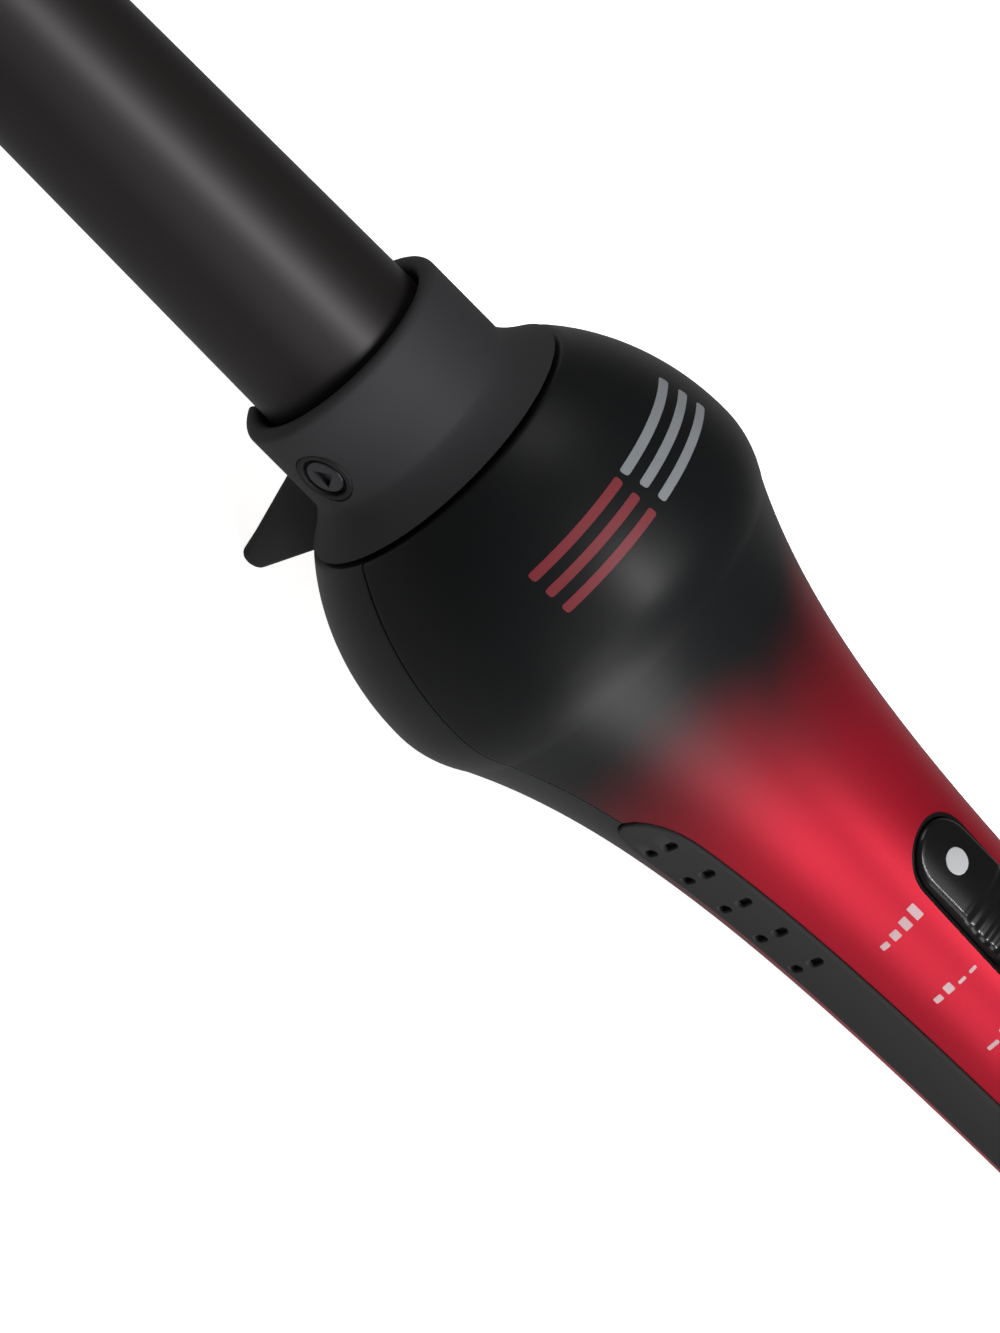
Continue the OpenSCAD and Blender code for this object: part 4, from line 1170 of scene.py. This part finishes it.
    def level_marks(self) -> None:
        """Prints the heat levels beside the slider: rising bars for high and low, a tick for off."""
        for step, filled in enumerate((4, 2)):
            foot = SLIDER.dot_x + step * SLIDER.step + 1.1
            bars = []
            for i in range(4):
                tall = 0.9 + 0.45 * i if i < filled else 0.5
                middle = -2.9 + 1.95 * i
                bars.append(rounded_box(foot - tall, foot, middle - 0.6, middle + 0.6, 0.2))
            self.printed(f"level_mark_{filled}", bars, self.mark_angle, Finish.PRINT_PALE)
        x = SLIDER.dot_x + 2 * SLIDER.step
        tick = [rounded_box(x - 1.1, x + 1.1, -0.3, 0.3, 0.25), rounded_box(x - 0.3, x + 0.3, -3, -1.2, 0.2)]
        self.printed("level_mark_off", tick, self.mark_angle, Finish.PRINT_PALE)

    def accent_stripes(self) -> None:
        """Prints three plain stripes round the bulb, red on one side and silver on the other."""
        for name, first, last, finish in (("accent_red", -42, -7, Finish.PRINT_RED),
                                          ("accent_silver", -4, 36, Finish.PRINT_SILVER)):
            middle, half = (first + last) / 2, math.radians(last - first) / 2 * BODY.radius(34)
            stripes = [rounded_box(x - self.stripe / 2, x + self.stripe / 2, -half, half, 0.5)
                       for x in self.stripe_places]
            self.printed(name, stripes, middle, finish)


@dataclass
class HeatSlider:
    """The slider's tray in the shell and the knob that runs in it."""

    tray_start: float = 96.5
    tray_end: float = 141.9
    tray_width: float = 11.8
    tray_wall: float = 0.5
    floor: float = 12.4
    floor_thickness: float = 1.0
    stem_slot: tuple[float, float, float] = (106.4, 132.0, 1.6)
    knob_start: float = 97.2
    knob_length: float = 23.0
    knob_width: float = 10.4
    knob_base: float = 12.6
    crown: float = 16.9
    edge: float = 0.8
    dish_radius: float = 14.0
    dish_depth: float = 0.6
    ridge_pitch: float = 1.7
    ridge_height: float = 0.16
    dot_x: float = 103.4
    dot_radius: float = 1.85
    step: float = 10.5

    def build(self) -> None:
        """Makes the tray, the knob and the dot."""
        self.tray()
        self.knob()
        self.dot()

    def tray(self) -> None:
        """Makes the tray, whose rim follows the body's skin."""
        outer = pill(self.tray_start, self.tray_end, self.tray_width, 32)
        bm = slab(outer, self.floor - self.floor_thickness, 30)
        slices(bm, 0, spread(self.tray_start + 1, self.tray_end - 1, 30))
        for v in bm.verts:
            if v.co.z > 20:
                v.co.z = math.sqrt((BODY.radius(v.co.x) - 0.05) ** 2 - v.co.y ** 2)
        obj = plain_object("slider_well", bm)
        inner = pill(self.tray_start + self.tray_wall, self.tray_end - self.tray_wall,
                     self.tray_width - 2 * self.tray_wall, 32)
        x0, x1, half = self.stem_slot
        carve(obj, [slab(inner, self.floor, 40), box((x0, -half, 0), (x1, half, 40))])
        finish_piece(obj, Finish.TRAY.material())
        declare(obj, "handle", ["slider_tray"])

    def top(self, x: float, y: float) -> float:
        """Returns the knob's height: crowned across, with a finger dish and low ridges in it."""
        middle = self.knob_start + self.knob_length * 0.66
        height = math.sqrt(self.crown ** 2 - y ** 2)
        away = abs(x - middle)
        dish = self.dish_depth - (self.dish_radius - math.sqrt(self.dish_radius ** 2 - min(away, 6.0) ** 2))
        if dish > 0:
            wave = 0.5 + 0.5 * math.cos(2 * math.pi * away / self.ridge_pitch)
            height -= dish - self.ridge_height * wave * min(1.0, dish / 0.2)
        return height

    def knob(self) -> None:
        """Makes the knob from a round-ended slab whose top is shaped."""
        end = self.knob_start + self.knob_length
        bm = slab(pill(self.knob_start, end, self.knob_width, 40), self.knob_base, self.crown)
        soften(bm, self.edge, 6, least=50, want=lambda e: all(v.co.z > self.crown - 0.01 for v in e.verts))
        slices(bm, 0, spread(self.knob_start + 0.25, end - 0.25, 90))
        slices(bm, 1, spread(-self.knob_width / 2 + 0.4, self.knob_width / 2 - 0.4, 20))
        for v in bm.verts:
            share = (v.co.z - self.knob_base) / (self.crown - self.knob_base)
            v.co.z = self.knob_base + share * (self.top(v.co.x, v.co.y) - self.knob_base)
        bmesh.ops.recalc_face_normals(bm, faces=bm.faces)
        obj = finish_piece(plain_object("heat_knob", bm), Finish.KNOB.material())
        declare(obj, "slider", ["slider_knob"])

    def dot(self) -> None:
        """Makes the pale dot set in the knob, a little domed."""
        profile = rounded([(self.crown - 0.7, 0, 0), (self.crown - 0.7, self.dot_radius, 0),
                           (self.crown + 0.02, self.dot_radius, 0.15), (self.crown + 0.05, 0, 0)], 4)
        stand = Matrix.Translation((self.dot_x, 0, 0)) @ Matrix.Rotation(-math.pi / 2, 4, "Y")
        obj = finish_piece(plain_object("knob_dot", moved(lathe(profile, 64), stand)), Finish.DOT.material())
        declare(obj, "slider", ["slider_dot"])


SLIDER = HeatSlider()


@dataclass
class Tail:
    """The tail cap and the gland that turns in it, where a cord would go in."""

    start: float = 184.3
    end: float = 194.3
    rounding: float = 4.0
    neck: float = 7.0
    gland_start: float = 194.8
    gland_end: float = 206.8
    gland_radius: float = 8.4
    gland_tip: float = 5.8
    inlet: float = 3.6
    inlet_depth: float = 14.0
    stem: float = 4.0
    stem_start: float = 170.0
    wire_hole: float = 2.2
    flange: float = 9.2
    flange_start: float = 188.3

    def build(self) -> None:
        """Makes the cap and the gland."""
        self.cap()
        self.gland()

    def cap(self) -> None:
        """Spins the cap with its spigot inside the shells."""
        r = BODY.radius(BODY.end)
        spigot = r - BODY.wall - 0.05
        inner = spigot - 1.6
        face = self.flange_start + 2.25
        profile = rounded([
            (BODY.end - 8, inner, 0), (BODY.end - 8, spigot, 0.3), (self.start, spigot, 0),
            (self.start, r, 0.25), (self.start + 1.6, r, 0), (self.start + 1.9, r - 0.3, 0.1),
            (self.start + 2.4, r - 0.3, 0.1), (self.start + 2.7, r, 0), (self.end, r, self.rounding * 1.5),
            (self.end, self.neck + 0.06, 0.2), (face, self.neck + 0.06, 0), (face, inner, 0)], 10)
        obj = finish_piece(plain_object("tail_end_cap", lathe(profile, 160)), Finish.BLACK.material())
        declare(obj, "handle", ["tail_cap"])

    def gland(self) -> None:
        """Spins the gland, its grooves, its neck and the inlet bore."""
        g0, g1 = self.gland_start, self.gland_end
        cone = []
        for i in range(3):
            x = g0 + 3.6 + 2.6 * i
            r = self.gland_radius + (self.gland_tip - self.gland_radius) * (x - g0 - 2) / (g1 - g0 - 2)
            cone += [(x, r, 0.15), (x + 0.35, r - 0.65, 0.15), (x + 0.95, r - 0.75, 0.15),
                     (x + 1.3, r - 0.3, 0.15)]
        profile = rounded([
            (self.stem_start, self.wire_hole, 0), (self.stem_start, self.stem, 0.3),
            (self.flange_start, self.stem, 0), (self.flange_start, self.flange, 0.2),
            (self.flange_start + 2, self.flange, 0.2), (self.flange_start + 2, self.neck, 0),
            (g0, self.neck, 0), (g0, self.gland_radius, 0.6), (g0 + 2, self.gland_radius, 0.5), *cone,
            (g1, self.gland_tip, 0.8), (g1, self.inlet, 0.3), (g1 - self.inlet_depth, self.inlet, 0),
            (g1 - self.inlet_depth, self.wire_hole, 0)], 5)
        obj = finish_piece(plain_object("cord_gland", lathe(profile, 128)), Finish.BLACK.material())
        declare(obj, "swivel", ["cord_swivel"])


@dataclass
class Insides:
    """The carried-over CAD pieces, which keep their meshes and get their finishes."""

    finishes: dict[str, Finish] = field(default_factory=lambda: {
        "heater_plate": Finish.CERAMIC, "heat_spreader_upper": Finish.ALUMINIUM,
        "heat_spreader_lower": Finish.ALUMINIUM, "spreader_spring": Finish.SPRING,
        "thermistor": Finish.AMBER, "thermal_fuse": Finish.SCREW, "heater_leads": Finish.SLEEVE,
        "barrel_holder": Finish.PHENOLIC, "barrel_screws": Finish.SCREW, "clamp_yoke": Finish.SPRING,
        "clamp_rivets": Finish.SCREW, "shell_screws": Finish.DARK_SCREW, "heat_baffle": Finish.MICA,
        "terminal_block": Finish.CERAMIC, "circuit_board": Finish.BOARD, "board_parts": Finish.BLACK,
        "board_screws": Finish.SCREW, "slide_switch": Finish.BLACK, "switch_actuator": Finish.WHITE,
        "slider_carrier": Finish.BLACK, "mains_leads": Finish.SLEEVE, "contact_rings": Finish.BRASS,
        "brush_holder": Finish.WHITE, "contact_brushes": Finish.BRASS})

    def build(self) -> None:
        """Gives each piece its finish."""
        for name, finish in self.finishes.items():
            obj = bpy.data.objects[name]
            obj.data.materials.clear()
            obj.data.materials.append(finish.material())
            LOG.info("%s keeps its mesh, in %s", name, finish.slot)


# --- studio ----------------------------------------------------------------------------------------


@dataclass(frozen=True)
class Softbox:
    """A rectangular light that looks at the iron from a direction in the iron's axes."""

    name: str
    direction: tuple[float, float, float]
    power: float
    length: float
    width: float
    distance: float = 1.3
    aim_x: float = 10.0

    def build(self) -> None:
        """Makes the light, with its long side along the iron."""
        data = bpy.data.lights.new(self.name, "AREA")
        data.shape = "RECTANGLE"
        data.size, data.size_y = self.length, self.width
        data.energy = self.power
        lamp = bpy.data.objects.new(self.name, data)
        lamp.visible_camera = False
        away = SPACE.vector(*self.direction).normalized()
        long_side = (SPACE.along - away * SPACE.along.dot(away)).normalized()
        turn = Matrix((long_side, away.cross(long_side), away)).transposed()
        place = SPACE.point(self.aim_x, 0, 0) + away * self.distance
        lamp.matrix_world = Matrix.Translation(place) @ turn.to_4x4()
        bpy.context.scene.collection.objects.link(lamp)


@dataclass
class Studio:
    """A white sweep, soft lights and a long lens."""

    focal_mm: float = 400.0
    frame_height: float = 0.1684
    camera_turn: tuple[float, float, float] = (15.647, -36.454, 33.78)
    aim_right: float = 0.02075
    aim_up: float = -0.04064
    ambient_above: float = 0.07
    ambient_below: float = 0.33
    room_radius: float = 14.0
    room_height: float = 12.0
    floor_glow: float = 0.92
    lights: tuple[Softbox, ...] = (
        Softbox("barrel_strip", (0.26, -0.165, 0.95), power=7.4, length=0.45, width=0.025),
        Softbox("barrel_glow", (0.26, 0.10, 0.95), power=0.8, length=0.6, width=0.30),
        Softbox("front_box", (0.60, -0.64, 0.48), power=5.8, length=0.8, width=0.9, distance=1.6),
        Softbox("tail_card", (0.92, -0.36, 0.10), power=7, length=0.7, width=0.6),
        Softbox("tip_card", (-0.72, 0.35, 0.60), power=2.6, length=0.6, width=0.6),
    )

    def build(self) -> None:
        """Sets the camera, the lights, the sky and the floor."""
        self.camera()
        for light in self.lights:
            light.build()
        self.sky()
        self.floor()
        bpy.context.scene.view_settings.view_transform = "Standard"

    def camera(self) -> None:
        """Looks down at the collar and the bulb through a long lens."""
        data = bpy.data.cameras.new("camera")
        data.lens = self.focal_mm
        data.sensor_width = 36.0
        obj = bpy.data.objects.new("camera", data)
        turn = SPACE.turn @ Euler([math.radians(a) for a in self.camera_turn]).to_matrix()
        right, up, back = turn.col[0], turn.col[1], turn.col[2]
        aim = SPACE.point(0, 0, 0) + right * self.aim_right + up * self.aim_up
        away = self.frame_height * self.focal_mm / data.sensor_width
        obj.matrix_world = Matrix.Translation(aim + back * away) @ turn.to_4x4()
        bpy.context.scene.collection.objects.link(obj)
        bpy.context.scene.camera = obj

    def sky(self) -> None:
        """Surrounds the iron with dim light from above and paler light from below."""
        world = bpy.data.worlds.new("studio_walls")
        world.use_nodes = True
        tree = world.node_tree
        place = tree.nodes.new("ShaderNodeTexCoord")
        split = tree.nodes.new("ShaderNodeSeparateXYZ")
        fade = tree.nodes.new("ShaderNodeMapRange")
        fade.interpolation_type = "SMOOTHSTEP"
        for socket, value in (("From Min", -0.45), ("From Max", 0.08), ("To Min", self.ambient_below),
                              ("To Max", self.ambient_above)):
            fade.inputs[socket].default_value = value
        background = tree.nodes["Background"]
        background.inputs["Color"].default_value = (1.0, 0.995, 0.99, 1.0)
        tree.links.new(place.outputs["Generated"], split.inputs[0])
        tree.links.new(split.outputs["Z"], fade.inputs["Value"])
        tree.links.new(fade.outputs[0], background.inputs["Strength"])
        bpy.context.scene.world = world

    def floor(self) -> None:
        """Lays a white floor with a round wall that glow, but don't light the iron themselves."""
        bm = new_mesh()
        rim = bmesh.ops.create_circle(bm, cap_ends=True, segments=96, radius=self.room_radius)["verts"]
        wall = bmesh.ops.extrude_edge_only(bm, edges=[e for e in bm.edges if all(v in rim for v in e.verts)])
        top = [g for g in wall["geom"] if isinstance(g, bmesh.types.BMVert)]
        bmesh.ops.translate(bm, verts=top, vec=(0, 0, self.room_height))
        obj = plain_object("floor", bm)
        g = Graph("floor_paper")
        grain = g.noise(g.place(), 900.0, detail=2)
        shade = g.mix(grain, (0.88, 0.875, 0.865), (0.92, 0.915, 0.905))
        obj.data.materials.append(g.surface({
            "Base Color": shade, "Roughness": 0.9, "Specular IOR Level": 0.1,
            "Emission Color": (1.0, 0.992, 0.978, 1), "Emission Strength": self.floor_glow}))
        obj.visible_diffuse = obj.visible_glossy = obj.visible_shadow = False


def main() -> None:
    """Builds the iron, sub-assembly by sub-assembly, and then the studio."""
    logging.basicConfig(level=logging.INFO, format="%(name)s: %(message)s")
    for part in (HotBarrel(), CollarRing(), Clamp(), Casing(), SLIDER, Tail(), Insides()):
        LOG.info("building %s", type(part).__name__)
        part.build()
    Studio().build()


if __name__ == "__main__":
    main()
